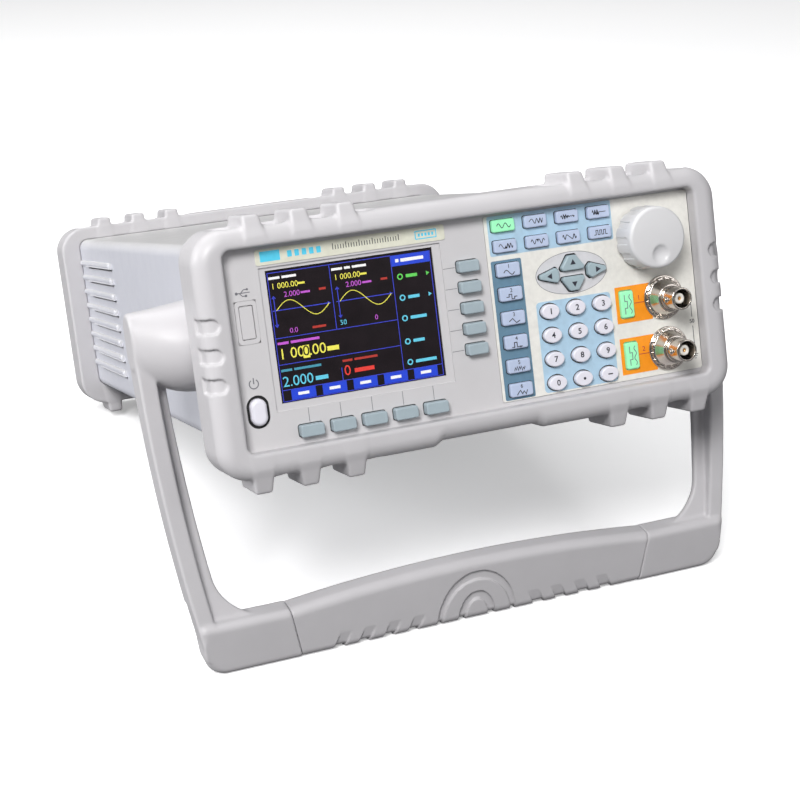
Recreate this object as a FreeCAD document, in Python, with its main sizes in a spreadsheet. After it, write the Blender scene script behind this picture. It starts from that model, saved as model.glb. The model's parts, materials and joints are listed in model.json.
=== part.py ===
"""A bench function generator with rubber-cornered bumpers and a swinging bail handle.

Every piece is drawn level: X to the right, Y to the back, Z up, with the outer face of the
front panel at Y = 0 and the centre of the front opening at X = 0, Z = 0.  The last step sets
the whole instrument on its bail handle, nose up, with its origin on the bench under the
middle of its box.
"""
import FreeCAD, Part
import math
import os
import re
import Sketcher

V = FreeCAD.Vector
DOC = FreeCAD.newDocument("FunctionGenerator")
SHEET = DOC.addObject("Spreadsheet::Sheet", "Sizes")

# Driving dimensions in millimetres, or degrees where the name says tilt.
SIZES = {
    "stand_tilt": 15.6,
    "case_half": 108.0, "case_top": 42.8, "case_low": -42.0, "case_split": 17.3,
    "case_wall": 1.2, "case_round": 5.0, "case_front": 3.0, "case_back": 335.5,
    "bumper_half": 118.5, "bumper_top": 49.8, "bumper_low": -52.6, "bumper_mid": -50.4,
    "bumper_lip": 6.5, "bumper_back": 20.5, "bumper_round": 14.0, "bumper_soft": 6.0,
    "opening_half": 106.5, "opening_top": 41.2, "opening_low": -41.2, "opening_round": 3.5,
    "rear_face": 345.0,
    "nub_top": 54.0, "nub_low": -58.5, "nub_wide": 7.0, "nub_foot": 9.6, "nub_start": 2.0,
    "nub_pitch": 20.0, "nub_upper": 52.0, "nub_lower": 61.0, "valley_radius": 9.5,
    "groove_high": 6.0, "groove_pitch": 12.0, "groove_first": 12.2, "groove_end": 111.3,
    "groove_deep": 1.4,
    "louvre_count": 8.0, "louvre_first": 30.0, "louvre_pitch": 8.2, "louvre_front": 226.0,
    "louvre_long": 74.0, "louvre_proud": 1.5, "louvre_high": 3.2, "louvre_slot": 1.2,
    "window_left": -88.1, "window_right": -15.5, "window_top": 30.8, "window_low": -23.6,
    "frame_left": -91.0, "frame_right": -12.0, "frame_top": 32.2, "frame_low": -26.6,
    "frame_deep": 0.8, "fascia_left": 8.4, "fascia_deep": 0.5,
    "key_gap": 0.35, "key_round": 1.0, "key_lip": 0.8, "key_stem": 1.5, "key_tail": 7.6,
    "unit_wide": 10.2, "unit_high": 5.0, "unit_proud": 3.6, "unit_x": -77.7, "unit_z": -35.8,
    "unit_pitch": 13.79,
    "menu_wide": 9.3, "menu_high": 4.8, "menu_x": -1.2, "menu_z": 20.9, "menu_pitch": 8.77,
    "mode_wide": 10.4, "mode_high": 5.2, "mode_proud": 2.0, "mode_x": 16.9, "mode_z": 35.6,
    "mode_pitch": 15.0, "mode_row": 8.7,
    "wave_wide": 10.5, "wave_high": 5.8, "wave_x": 17.1, "wave_z": 16.8, "wave_pitch": 10.31,
    "digit_wide": 8.3, "digit_high": 6.4, "digit_proud": 2.4, "digit_x": 34.4,
    "digit_z": -3.65, "digit_pitch": 12.54, "digit_row": 10.35,
    "arrow_proud": 2.2, "arrow_lip": 7.0,
    "output_wide": 6.2, "output_high": 11.6, "output_proud": 1.6, "output_x": 71.6,
    "output_z": -6.0,
    "power_wide": 7.0, "power_high": 11.2, "power_proud": 2.2, "power_x": -98.6,
    "power_z": -25.2, "power_gap": 1.25,
    "knob_x": 83.1, "knob_z": 21.9, "knob_radius": 13.9, "knob_high": 13.5,
    "knob_gap": 0.8, "knob_soft": 2.6, "shaft_radius": 3.0, "shaft_fit": 0.05,
    "jack_x": 90.0, "jack_z": -5.5, "jack_drop": 22.7, "jack_flange": 9.75,
    "jack_barrel": 4.85, "jack_bore": 4.0, "jack_front": 16.7, "jack_hole": 4.9,
    "jack_lip": 3.3, "jack_relief": 0.35,
    "hinge_y": 41.0, "hinge_z": 2.0, "drum_start": 108.5, "drum_end": 139.0,
    "drum_base": 19.6, "drum_tip": 16.5, "drum_hollow": 14.0, "drum_floor": 119.0,
    "pivot_radius": 13.5, "pivot_end": 118.0, "pin_radius": 4.0, "pin_fit": 0.05,
    "pin_end": 131.0,
    "arm_half": 139.0, "arm_foot": 127.2, "arm_wall": 6.4,
    "arm_wide": 13.0, "arm_deep": 15.0, "arm_top": 18.5, "arm_corner": 10.0,
    "web_upper": 10.0, "web_lower": 4.0, "web_thick": 5.5,
    "bar_front": 37.9, "bar_level": -142.2, "bar_high": 24.8, "bar_thick": 13.0,
    "bar_arch": 30.4, "bar_seam_top": 88.0, "bar_seam_low": 83.4, "bar_fillet": 20.0,
    "bar_soft": 4.5, "bar_gap": 0.15,
    "board_front": 9.0, "board_thick": 1.6,
    "vent_start": 10.0, "vent_long": 78.0, "vent_count": 14.0,
    "inlet_x": -70.0, "inlet_z": -12.0, "inlet_wide": 27.4, "inlet_high": 20.4,
}
NUB_COUNT = 3
SEATS = {}


def fill_sheet():
    for row, (name, number) in enumerate(SIZES.items(), start=1):
        SHEET.set("A%d" % row, name)
        SHEET.set("B%d" % row, str(number))
        SHEET.setAlias("B%d" % row, name)
    DOC.recompute()


def bound(text):
    """Turn 'case_half - case_wall' into an expression on the sheet's cells."""
    return re.sub(r"\b[a-z]+_[a-z_]+\b", lambda word: "Sizes." + word.group(0), str(text))


def number(text):
    return float(SHEET.evalExpression(bound(text)))


def bind(item, **links):
    for name, text in links.items():
        item.setExpression(name.replace("__", "."), bound(text))
    return item


# ---------------------------------------------------------------- Part pieces

def block(name, low, high):
    """A box between two corners, each given as three expressions."""
    item = DOC.addObject("Part::Box", name)
    bind(item, Length="(%s) - (%s)" % (high[0], low[0]), Width="(%s) - (%s)" % (high[1], low[1]))
    bind(item, Height="(%s) - (%s)" % (high[2], low[2]))
    return move(item, low)


def move(item, place):
    return bind(item, Placement__Base__x=place[0], Placement__Base__y=place[1],
                Placement__Base__z=place[2])


def rod(name, place, along, radius, length, tip=None):
    """A cylinder, or a cone when tip is given, from a point along 'x', 'y' or 'z'."""
    kind = "Part::Cylinder" if tip is None else "Part::Cone"
    item = DOC.addObject(kind, name)
    turns = {"x": (V(0, 1, 0), 90), "y": (V(1, 0, 0), -90), "z": (V(0, 0, 1), 0)}
    item.Placement = FreeCAD.Placement(V(), FreeCAD.Rotation(*turns[along]))
    bind(item, Height=length)
    if tip is None:
        bind(item, Radius=radius)
    else:
        bind(item, Radius1=radius, Radius2=tip)
    return move(item, place)


def cut(name, base, tools):
    item = DOC.addObject("Part::Cut", name)
    item.Base = base
    item.Tool = tools[0] if len(tools) == 1 else join(name + "_tools", tools)
    return item


def join(name, pieces):
    item = DOC.addObject("Part::MultiFuse", name)
    item.Shapes = pieces
    item.Refine = True
    return item


def group(name, pieces):
    item = DOC.addObject("Part::Compound", name)
    item.Links = pieces
    return item


def soften(name, base, picks):
    """Round the edges that each (radius, test) pair picks."""
    DOC.recompute()
    item = DOC.addObject("Part::Fillet", name)
    item.Base = base
    edges = []
    for place, edge in enumerate(base.Shape.Edges, start=1):
        for radius, test in picks:
            if test(edge):
                edges.append((place, number(radius), number(radius)))
                break
    item.Edges = edges
    return item


def mirrored(name, source):
    item = DOC.addObject("Part::Mirroring", name)
    item.Source = source
    item.Normal = V(1, 0, 0)
    return item


def extruded(name, drawing, toward, length):
    item = DOC.addObject("Part::Extrusion", name)
    item.Base = drawing
    item.DirMode = "Custom"
    item.Dir = toward
    item.Solid = True
    bind(item, LengthFwd=length)
    return item


def middle(edge):
    first, last = edge.ParameterRange
    return edge.valueAt((first + last) / 2)


def runs(edge, axis):
    """True for a straight edge along X, Y or Z."""
    if not isinstance(edge.Curve, Part.Line):
        return False
    return abs(abs(edge.tangentAt(edge.FirstParameter)[axis]) - 1) < 1e-6


# ------------------------------------------------------------ sketched pieces

def body(label):
    item = DOC.addObject("PartDesign::Body", label)
    item.Label = label
    return item


def sketch(owner, role, offset):
    """A sketch of the body on one of its own origin planes, moved along its normal."""
    item = owner.newObject("Sketcher::SketchObject", owner.Label + "_sketch")
    plane = [part for part in owner.Origin.OriginFeatures if part.Role == role][0]
    item.AttachmentSupport = [(plane, "")]
    item.MapMode = "FlatFace"
    bind(item, AttachmentOffset__Base__z=offset)
    return item


def free_sketch(name, turn, place):
    item = DOC.addObject("Sketcher::SketchObject", name)
    item.Placement = FreeCAD.Placement(V(), turn)
    return move(item, place)


def hold(drawing, kind, geometry, point, text):
    """Fix one coordinate of a sketched point to an expression."""
    row = drawing.addConstraint(
        Sketcher.Constraint(kind, -1, 1, geometry, point, number(text)))
    drawing.setExpression("Constraints[%d]" % row, bound(text))


def outline(drawing, corners):
    """Close a loop through (x, y) corners; a third and fourth value bow that side out."""
    first = drawing.GeometryCount
    spots = [V(number(corner[0]), number(corner[1]), 0) for corner in corners]
    for place, corner in enumerate(corners):
        start = spots[place]
        end = spots[(place + 1) % len(corners)]
        if len(corner) == 4:
            bow = V(number(corner[2]), number(corner[3]), 0)
            drawing.addGeometry(left_turning_arc(start, bow, end), False)
        else:
            drawing.addGeometry(Part.LineSegment(start, end), False)
    for place, corner in enumerate(corners):
        here = first + place
        following = first + (place + 1) % len(corners)
        near, far = ends(drawing, here, spots[place])
        next_near = ends(drawing, following, spots[(place + 1) % len(corners)])[0]
        drawing.addConstraint(Sketcher.Constraint("Coincident", here, far, following, next_near))
        hold(drawing, "DistanceX", here, near, corner[0])
        hold(drawing, "DistanceY", here, near, corner[1])
    return drawing


def left_turning_arc(start, bow, end):
    """An arc through three points, stored anticlockwise as a sketch keeps it."""
    if (bow - start).cross(end - start).z > 0:
        return Part.Arc(start, bow, end)
    return Part.Arc(end, bow, start)


def ends(drawing, geometry, start):
    """The point numbers of a segment's start and end, whichever way its arc runs."""
    first = drawing.Geometry[geometry].StartPoint
    if first.distanceToPoint(start) < 1e-6:
        return 1, 2
    return 2, 1


def rectangle(drawing, x, y, wide, high):
    left = "(%s) - (%s) / 2" % (x, wide)
    right = "(%s) + (%s) / 2" % (x, wide)
    low = "(%s) - (%s) / 2" % (y, high)
    top = "(%s) + (%s) / 2" % (y, high)
    return outline(drawing, [(left, low), (right, low), (right, top), (left, top)])


def circle(drawing, x, y, radius):
    spot = V(number(x), number(y), 0)
    place = drawing.addGeometry(Part.Circle(spot, V(0, 0, 1), number(radius)), False)
    hold(drawing, "DistanceX", place, 3, x)
    hold(drawing, "DistanceY", place, 3, y)
    row = drawing.addConstraint(Sketcher.Constraint("Radius", place, number(radius)))
    drawing.setExpression("Constraints[%d]" % row, bound(radius))
    return drawing


def oval(drawing, x, y, wide, high):
    """An ellipse that is wider than it is high."""
    spot = V(number(x), number(y), 0)
    shape = Part.Ellipse(spot, number(wide) / 2, number(high) / 2)
    place = drawing.addGeometry(shape, False)
    drawing.exposeInternalGeometry(place)
    hold(drawing, "DistanceX", place, 3, x)
    hold(drawing, "DistanceY", place, 3, y)
    drawing.addConstraint(Sketcher.Constraint("Horizontal", place + 1))
    for line, length in ((place + 1, wide), (place + 2, high)):
        row = drawing.addConstraint(Sketcher.Constraint("Distance", line, number(length)))
        drawing.setExpression("Constraints[%d]" % row, bound(length))
    return drawing


def stadium(drawing, x, y, wide, high):
    """An upright slot shape with round ends."""
    left = "(%s) - (%s) / 2" % (x, wide)
    right = "(%s) + (%s) / 2" % (x, wide)
    low = "(%s) - ((%s) - (%s)) / 2" % (y, high, wide)
    top = "(%s) + ((%s) - (%s)) / 2" % (y, high, wide)
    return outline(drawing, [(left, low, x, "(%s) - (%s) / 2" % (y, high)), (right, low),
                             (right, top, x, "(%s) + (%s) / 2" % (y, high)), (left, top)])


def pad(owner, drawing, length, backwards=False):
    """Raise a sketch towards its normal, or away from it when backwards is set."""
    item = owner.newObject("PartDesign::Pad", owner.Label + "_pad")
    item.Profile = drawing
    item.Reversed = backwards
    bind(item, Length=length)
    return item


def pocket(owner, drawing, length, towards_normal=False):
    """Cut a sketch away from its normal, or towards it, and prove that it cut."""
    DOC.recompute()
    before = owner.Shape.Volume
    item = owner.newObject("PartDesign::Pocket", owner.Label + "_pocket")
    item.Profile = drawing
    item.Reversed = towards_normal
    bind(item, Length=length)
    DOC.recompute()
    if owner.Shape.Volume > before - 1e-3:
        raise RuntimeError("pocket cut nothing in " + owner.Label)
    return item


def rounding(owner, radius, test):
    """Round the body's edges that the test picks."""
    DOC.recompute()
    base = owner.Tip
    names = ["Edge%d" % place for place, edge in enumerate(owner.Shape.Edges, start=1)
             if test(edge)]
    item = owner.newObject("PartDesign::Fillet", owner.Label + "_fillet")
    item.Base = (base, names)
    bind(item, Radius=radius)
    return item


# --------------------------------------------------------------------- bumpers

def nub_places(first):
    """The X of the three nubs on each side of the middle."""
    places = ["%s + nub_pitch * %d" % (first, step) for step in range(NUB_COUNT)]
    return places + ["-(%s)" % place for place in places]


def bumper(label):
    """A moulded frame round one end of the case, with nubs to stand or stack on."""
    item = body(label)
    shell = sketch(item, "XZ_Plane", "bumper_lip")
    outline(shell, [
        ("-bumper_half", "bumper_low"), ("-26", "bumper_low"), ("-21", "bumper_mid"),
        ("21", "bumper_mid"), ("26", "bumper_low"), ("bumper_half", "bumper_low"),
        ("bumper_half", "bumper_top"), ("-bumper_half", "bumper_top")])
    pad(item, shell, "bumper_lip + bumper_back", backwards=True)
    half = number("bumper_half")
    rounding(item, "bumper_round",
             lambda edge: runs(edge, 1) and abs(abs(middle(edge).x) - half) < 0.01)
    face = -number("bumper_lip")
    rounding(item, "bumper_soft", lambda edge: abs(middle(edge).y - face) < 0.01)
    bumper_valleys(item)
    bumper_nubs(item)
    bumper_openings(item)
    finger_grooves(item)
    return item


def bumper_valleys(item):
    """Scoops that run back beside each nub."""
    dips = sketch(item, "XZ_Plane", "-nub_start + 1")
    for step in range(-1, NUB_COUNT):
        for side in ("", "-"):
            upper = "%s(nub_upper + nub_pitch * (%d + 0.5))" % (side, step)
            circle(dips, upper, "nub_top + 1.2", "valley_radius - 1.5")
            lower = "%s(nub_lower + nub_pitch * (%d + 0.5))" % (side, step)
            circle(dips, lower, "nub_low - 1.2", "valley_radius - 1.5")
    pocket(item, dips, "bumper_back - nub_start + 2")


def bumper_nubs(item):
    """Tapered ribs above and below, set back a little from the face."""
    ribs = sketch(item, "XZ_Plane", "-nub_start")
    for spots, tip, root in ((nub_places("nub_upper"), "nub_top", "bumper_top - 4"),
                             (nub_places("nub_lower"), "nub_low", "bumper_low + 4")):
        for spot in spots:
            outline(ribs, [
                ("%s - nub_foot / 2" % spot, root), ("%s + nub_foot / 2" % spot, root),
                ("%s + nub_wide / 2" % spot, tip), ("%s - nub_wide / 2" % spot, tip)])
    pad(item, ribs, "bumper_back - nub_start", backwards=True)
    tips = (number("nub_top"), number("nub_low"))
    rounding(item, "1.4", lambda edge: min(abs(middle(edge).z - tip) for tip in tips) < 0.01)


def bumper_openings(item):
    """The opening that frames the panel, and the wider seat behind it for the case."""
    mouth = sketch(item, "XZ_Plane", "bumper_lip + 1")
    outline(mouth, [("-opening_half", "opening_low"), ("opening_half", "opening_low"),
                    ("opening_half", "opening_top"), ("-opening_half", "opening_top")])
    pocket(item, mouth, "bumper_lip + bumper_back + 2")
    inner = number("opening_half")
    rounding(item, "opening_round",
             lambda edge: runs(edge, 1) and abs(abs(middle(edge).x) - inner) < 0.01
             and abs(middle(edge).z) < number("opening_top") + 0.01)
    seat = sketch(item, "XZ_Plane", "0")
    outline(seat, [("-case_half", "case_low"), ("case_half", "case_low"),
                   ("case_half", "case_top"), ("-case_half", "case_top")])
    pocket(item, seat, "bumper_back + 1")
    outer = number("case_half")
    rounding(item, "case_round",
             lambda edge: runs(edge, 1) and abs(abs(middle(edge).x) - outer) < 0.01)


def finger_grooves(item):
    """Three round-ended grooves that wrap each front corner."""
    grooves = sketch(item, "XZ_Plane", "bumper_lip + 1")
    for step in range(3):
        z = "groove_first - groove_pitch * %d" % step
        low = "%s - groove_high / 2" % z
        top = "%s + groove_high / 2" % z
        for side in ("", "-"):
            outline(grooves, [
                (side + "(bumper_half + 2)", low), (side + "(groove_end + groove_high / 2)", low,
                                                    side + "groove_end", z),
                (side + "(groove_end + groove_high / 2)", top), (side + "(bumper_half + 2)", top)])
    pocket(item, grooves, "groove_deep + 1")


# ------------------------------------------------------------------ case shells

def louvre_rows(upper):
    """The heights of the louvres that lie on the upper or the lower shell."""
    rows = []
    for step in range(int(number("louvre_count"))):
        z = "louvre_first - louvre_pitch * %d" % step
        if (number(z) > number("case_split")) == upper:
            rows.append(z)
    return rows


def shell(label, rim, crown, upper):
    """A long channel with louvred side walls, open at both ends and along one side."""
    item = body(label)
    inner = "case_half - case_wall"
    floor = "%s %s case_wall" % (crown, "-" if upper else "+")
    section = sketch(item, "XZ_Plane", "-case_front")
    outline(section, [("-case_half", rim), ("-case_half", crown), ("case_half", crown),
                      ("case_half", rim), (inner, rim), (inner, floor),
                      ("-(%s)" % inner, floor), ("-(%s)" % inner, rim)])
    pad(item, section, "case_back - case_front", backwards=True)
    level = number(crown)
    rounding(item, "case_round",
             lambda edge: runs(edge, 1) and abs(middle(edge).z - level) < 0.01)
    inside = number(floor)
    rounding(item, "case_round - case_wall",
             lambda edge: runs(edge, 1) and abs(middle(edge).z - inside) < 0.01)
    louvres(item, louvre_rows(upper))
    return item


def louvres(item, rows):
    """Blades pressed out of both side walls, each with an air slot under it."""
    blades = sketch(item, "XZ_Plane", "-louvre_front")
    slots = sketch(item, "XZ_Plane", "-louvre_front - 2")
    for z in rows:
        for side in ("", "-"):
            wall = side + "(case_half - 0.5)"
            outline(blades, [
                (wall, "%s + louvre_high / 2" % z), (side + "case_half", "%s + louvre_high / 2" % z),
                (side + "(case_half + louvre_proud)", "%s - louvre_high / 2" % z),
                (wall, "%s - louvre_high / 2" % z)])
            rectangle(slots, side + "(case_half - case_wall / 2)",
                      "%s - louvre_high / 2 - louvre_slot / 2" % z,
                      "case_wall + 1", "louvre_slot")
    pad(item, blades, "louvre_long", backwards=True)
    pocket(item, slots, "louvre_long - 4")


POSTS = (("-90", "40"), ("90", "40"), ("-90", "190"), ("90", "190"))


def top_cover():
    return shell("top_cover", "case_split", "case_top", upper=True)


def bottom_cover():
    """The lower shell, with posts for the main board and bosses for the rear screws."""
    item = shell("bottom_cover", "case_split", "case_low", upper=False)
    posts = sketch(item, "XY_Plane", "case_low + 1")
    pilots = sketch(item, "XY_Plane", "case_low + 8.5")
    for x, y in POSTS:
        circle(posts, x, y, "3.5")
        circle(pilots, x, y, "1.55")
    pad(item, posts, "7")
    pocket(item, pilots, "6.9")
    bosses = sketch(item, "XZ_Plane", "-(case_back - 14)")
    holes = sketch(item, "XZ_Plane", "-(case_back - 12)")
    for x in ("-101.5", "101.5"):
        circle(bosses, x, "-20", "5.6")
        circle(holes, x, "-20", "1.55")
    pad(item, bosses, "14", backwards=True)
    pocket(item, holes, "13")
    return item


# ----------------------------------------------------------------- front panel

ARROWS = {
    "up": (47.1, 15.7, [(-5.6, -1.9), (-4.8, -3.2), (4.8, -3.2), (5.6, -1.9), (1.9, 3.2),
                        (-1.9, 3.2)]),
    "down": (47.0, 6.8, [(-5.4, 1.9), (-1.9, -3.1), (1.9, -3.1), (5.4, 1.9), (4.7, 3.1),
                         (-4.7, 3.1)]),
    "left": (36.3, 11.3, [(-4.9, 0.9), (-4.9, -0.9), (2.8, -3.3), (4.0, -1.8), (4.0, 1.8),
                          (2.8, 3.3)]),
    "right": (58.2, 11.4, [(4.7, 0.9), (-2.6, 3.3), (-4.2, 1.8), (-4.2, -1.8), (-2.6, -3.3),
                           (4.7, -0.9)]),
}


def key_grid():
    """Every rectangular key: label, centre X and Z, width, height and how far it stands out."""
    keys = []
    for step in range(5):
        keys.append(("unit_key_%d" % (step + 1), "unit_x + unit_pitch * %d" % step, "unit_z",
                     "unit_wide", "unit_high", "unit_proud"))
        keys.append(("menu_key_%d" % (step + 1), "menu_x", "menu_z - menu_pitch * %d" % step,
                     "menu_wide", "menu_high", "unit_proud"))
    for step in range(8):
        keys.append(("mode_key_%d" % (step + 1), "mode_x + mode_pitch * %d" % (step % 4),
                     "mode_z - mode_row * %d" % (step // 4), "mode_wide", "mode_high",
                     "mode_proud"))
    for step in range(6):
        keys.append(("wave_key_%d" % (step + 1), "wave_x", "wave_z - wave_pitch * %d" % step,
                     "wave_wide", "wave_high", "mode_proud"))
    for step, name in enumerate("ab"):
        keys.append(("output_key_" + name, "output_x", "output_z - jack_drop * %d" % step,
                     "output_wide", "output_high", "output_proud"))
    return keys


def digit_grid():
    """The twelve oval keys: label and centre."""
    keys = []
    for step in range(12):
        keys.append(("digit_key_%d" % (step + 1), "digit_x + digit_pitch * %d" % (step % 3),
                     "digit_z - digit_row * %d" % (step // 3)))
    return keys


def arrow_outline(drawing, x, z, corners, grow):
    """An arrow key's outline; grow widens it evenly for its opening."""
    wide = max(abs(corner[0]) for corner in corners)
    high = max(abs(corner[1]) for corner in corners)
    scale_x = 1 + grow / wide
    scale_z = 1 + grow / high
    return outline(drawing, [(x + corner[0] * scale_x, z + corner[1] * scale_z)
                             for corner in corners])


def front_panel():
    """The moulded panel, with its screen window, key openings and shallow seats."""
    item = body("front_panel")
    plate = sketch(item, "XZ_Plane", "0")
    outline(plate, [("-case_half", "case_low"), ("case_half", "case_low"),
                    ("case_half", "case_top"), ("-case_half", "case_top")])
    pad(item, plate, "case_front", backwards=True)
    outer = number("case_half")
    rounding(item, "case_round",
             lambda edge: runs(edge, 1) and abs(abs(middle(edge).x) - outer) < 0.01)
    panel_seats(item)
    panel_windows(item)
    return item


def panel_seats(item):
    """Shallow seats for the screen frame, the printed overlay and the blanked data port."""
    seats = (("frame_left", "frame_right", "frame_low", "frame_top", "frame_deep"),
             ("fascia_left", "opening_half", "-39.6", "40.2", "fascia_deep"),
             ("-102.9", "-93.6", "2.5", "20.2", "1.0"),
             ("-101.6", "-95.6", "4.2", "18.1", "1.8"))
    for left, right, low, top, deep in seats:
        seat = sketch(item, "XZ_Plane", "1")
        outline(seat, [(left, low), (right, low), (right, top), (left, top)])
        pocket(item, seat, "%s + 1" % deep)


def panel_windows(item):
    """Every opening that goes right through the panel."""
    screen = sketch(item, "XZ_Plane", "1")
    outline(screen, [("window_left", "window_low"), ("window_right", "window_low"),
                     ("window_right", "window_top"), ("window_left", "window_top")])
    pocket(item, screen, "case_front + 2")
    for family in ("unit", "menu", "mode", "wave", "output"):
        keys = sketch(item, "XZ_Plane", "1")
        for label, x, z, wide, high, _ in key_grid():
            if label.startswith(family):
                rectangle(keys, x, z, "%s + key_gap * 2" % wide, "%s + key_gap * 2" % high)
        pocket(item, keys, "case_front + 2")
    rounding(item, "key_round + key_gap / 2", is_key_corner)
    digits = sketch(item, "XZ_Plane", "1")
    for _, x, z in digit_grid():
        oval(digits, x, z, "digit_wide + key_gap * 2", "digit_high + key_gap * 2")
    pocket(item, digits, "case_front + 2")
    pads = sketch(item, "XZ_Plane", "1")
    for x, z, corners in ARROWS.values():
        arrow_outline(pads, x, z, corners, number("key_gap"))
    stadium(pads, "power_x", "power_z", "power_wide + power_gap * 2", "power_high + power_gap * 2")
    circle(pads, "knob_x", "knob_z", "4.6")
    for step in range(2):
        circle(pads, "jack_x", "jack_z - jack_drop * %d" % step, "jack_hole")
    pocket(item, pads, "case_front + 2")


def is_key_corner(edge):
    """True for the upright corner edges of the rectangular key openings."""
    if not runs(edge, 1):
        return False
    spot = middle(edge)
    for _, x, z, wide, high, _ in key_grid():
        gap = 2 * number("key_gap")
        off_x = abs(abs(spot.x - number(x)) - (number(wide) + gap) / 2)
        off_z = abs(abs(spot.z - number(z)) - (number(high) + gap) / 2)
        if off_x < 0.01 and off_z < 0.01:
            return True
    return False


# ------------------------------------------------------------------------ keys

def finish_key(item, proud, lip_wide, lip_high):
    """Round the cap's front, then add the lip that holds the key in and its stem."""
    face = -number(proud)
    rounding(item, "0.6", lambda edge: abs(middle(edge).y - face) < 0.01)
    lip = sketch(item, "XZ_Plane", "-(case_front + 0.1)")
    rectangle(lip, "0", "0", lip_wide, lip_high)
    pad(item, lip, "1.0", backwards=True)
    stem = sketch(item, "XZ_Plane", "-(case_front + 1.1)")
    circle(stem, "0", "0", "key_stem")
    pad(item, stem, "key_tail - case_front - 1.1", backwards=True)


def seat(item, x, z):
    SEATS[item.Label] = FreeCAD.Placement(V(number(x), 0, number(z)), FreeCAD.Rotation())
    return item


def square_key(label, x, z, wide, high, proud):
    item = body(label)
    drawing = sketch(item, "XZ_Plane", proud)
    rectangle(drawing, "0", "0", wide, high)
    pad(item, drawing, "%s + case_front + 0.1" % proud, backwards=True)
    rounding(item, "key_round", lambda edge: runs(edge, 1))
    finish_key(item, proud, "%s + key_lip * 2" % wide, "%s + key_lip * 2" % high)
    return seat(item, x, z)


def oval_key(label, x, z):
    item = body(label)
    drawing = sketch(item, "XZ_Plane", "digit_proud")
    oval(drawing, "0", "0", "digit_wide", "digit_high")
    pad(item, drawing, "digit_proud + case_front + 0.1", backwards=True)
    finish_key(item, "digit_proud", "digit_wide + key_lip * 2", "digit_high + key_lip * 2")
    return seat(item, x, z)


def arrow_key(name):
    x, z, corners = ARROWS[name]
    item = body("arrow_key_" + name)
    drawing = sketch(item, "XZ_Plane", "arrow_proud")
    arrow_outline(drawing, 0, 0, corners, 0)
    pad(item, drawing, "arrow_proud + case_front + 0.1", backwards=True)
    rounding(item, "0.9", lambda edge: runs(edge, 1))
    finish_key(item, "arrow_proud", "arrow_lip", "6.4 + key_lip * 2")
    return seat(item, x, z)


def power_button():
    """A long oval push button on a latching switch."""
    item = body("power_button")
    drawing = sketch(item, "XZ_Plane", "power_proud")
    stadium(drawing, "0", "0", "power_wide", "power_high")
    pad(item, drawing, "power_proud + case_front + 0.1", backwards=True)
    face = -number("power_proud")
    rounding(item, "1.8", lambda edge: abs(middle(edge).y - face) < 0.01)
    lip = sketch(item, "XZ_Plane", "-(case_front + 0.1)")
    stadium(lip, "0", "0", "power_wide + power_gap * 2 + 1", "power_high + power_gap * 2 + 1")
    pad(item, lip, "1.0", backwards=True)
    stem = sketch(item, "XZ_Plane", "-(case_front + 1.1)")
    rectangle(stem, "0", "0", "4", "4")
    pad(item, stem, "2.2", backwards=True)
    return seat(item, "power_x", "power_z")


# ----------------------------------------------------------- knob and connectors

def tuning_knob():
    """A domed knob with a finger dimple and short flutes, in one with its shaft."""
    item = body("tuning_knob")
    profile = sketch(item, "YZ_Plane", "0")
    top = "-(knob_gap + knob_high)"
    outline(profile, [
        (top, "0"), ("9", "0"), ("9", "shaft_radius"), ("-6", "shaft_radius"), ("-6", "8"),
        ("-knob_gap", "8"), ("-knob_gap", "knob_radius"),
        (top + " + knob_soft", "knob_radius - 0.3",
         top + " + knob_soft * 0.293", "knob_radius - 0.3 - knob_soft * 0.293"),
        (top, "knob_radius - 0.3 - knob_soft")])
    turned = item.newObject("PartDesign::Revolution", "tuning_knob_turned")
    turned.Profile = profile
    turned.ReferenceAxis = (profile, ["H_Axis"])
    turned.Angle = 360
    knob_flutes(item)
    dimple = item.newObject("PartDesign::SubtractiveSphere", "tuning_knob_dimple")
    dimple.Placement = FreeCAD.Placement(V(3.8, number(top) - 3.0, -6.6), FreeCAD.Rotation())
    dimple.Radius = 4.6
    return seat(item, "knob_x", "knob_z")


def knob_flutes(item):
    """Twelve short flutes round the skirt."""
    DOC.recompute()
    flute = sketch(item, "XZ_Plane", "knob_gap - 0.5")
    rectangle(flute, "0", "knob_radius + 0.2", "1.6", "1.2")
    notch = pocket(item, flute, "4.5", towards_normal=True)
    ring = item.newObject("PartDesign::PolarPattern", "tuning_knob_flutes")
    ring.Originals = [notch]
    ring.Axis = (item.Origin.OriginFeatures[1], [""])
    ring.Angle = 360
    ring.Occurrences = 12
    item.Tip = ring
    DOC.recompute()


def rotary_encoder():
    """The encoder body behind the panel and its threaded bush and nut in front."""
    case = block("encoder_case", ("knob_x - 6.2", "case_front + 0.1", "knob_z - 6.2"),
                 ("knob_x + 6.2", "board_front", "knob_z + 6.2"))
    bush = rod("encoder_bush", ("knob_x", "-4", "knob_z"), "y", "4.4", "8")
    nut = rod("encoder_nut", ("knob_x", "-2.6", "knob_z"), "y", "6.6", "2.1")
    bore = rod("encoder_bore", ("knob_x", "-5", "knob_z"), "y", "shaft_radius + shaft_fit", "15")
    return cut("rotary_encoder", join("encoder_solid", [case, bush, nut]), [bore])


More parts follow.
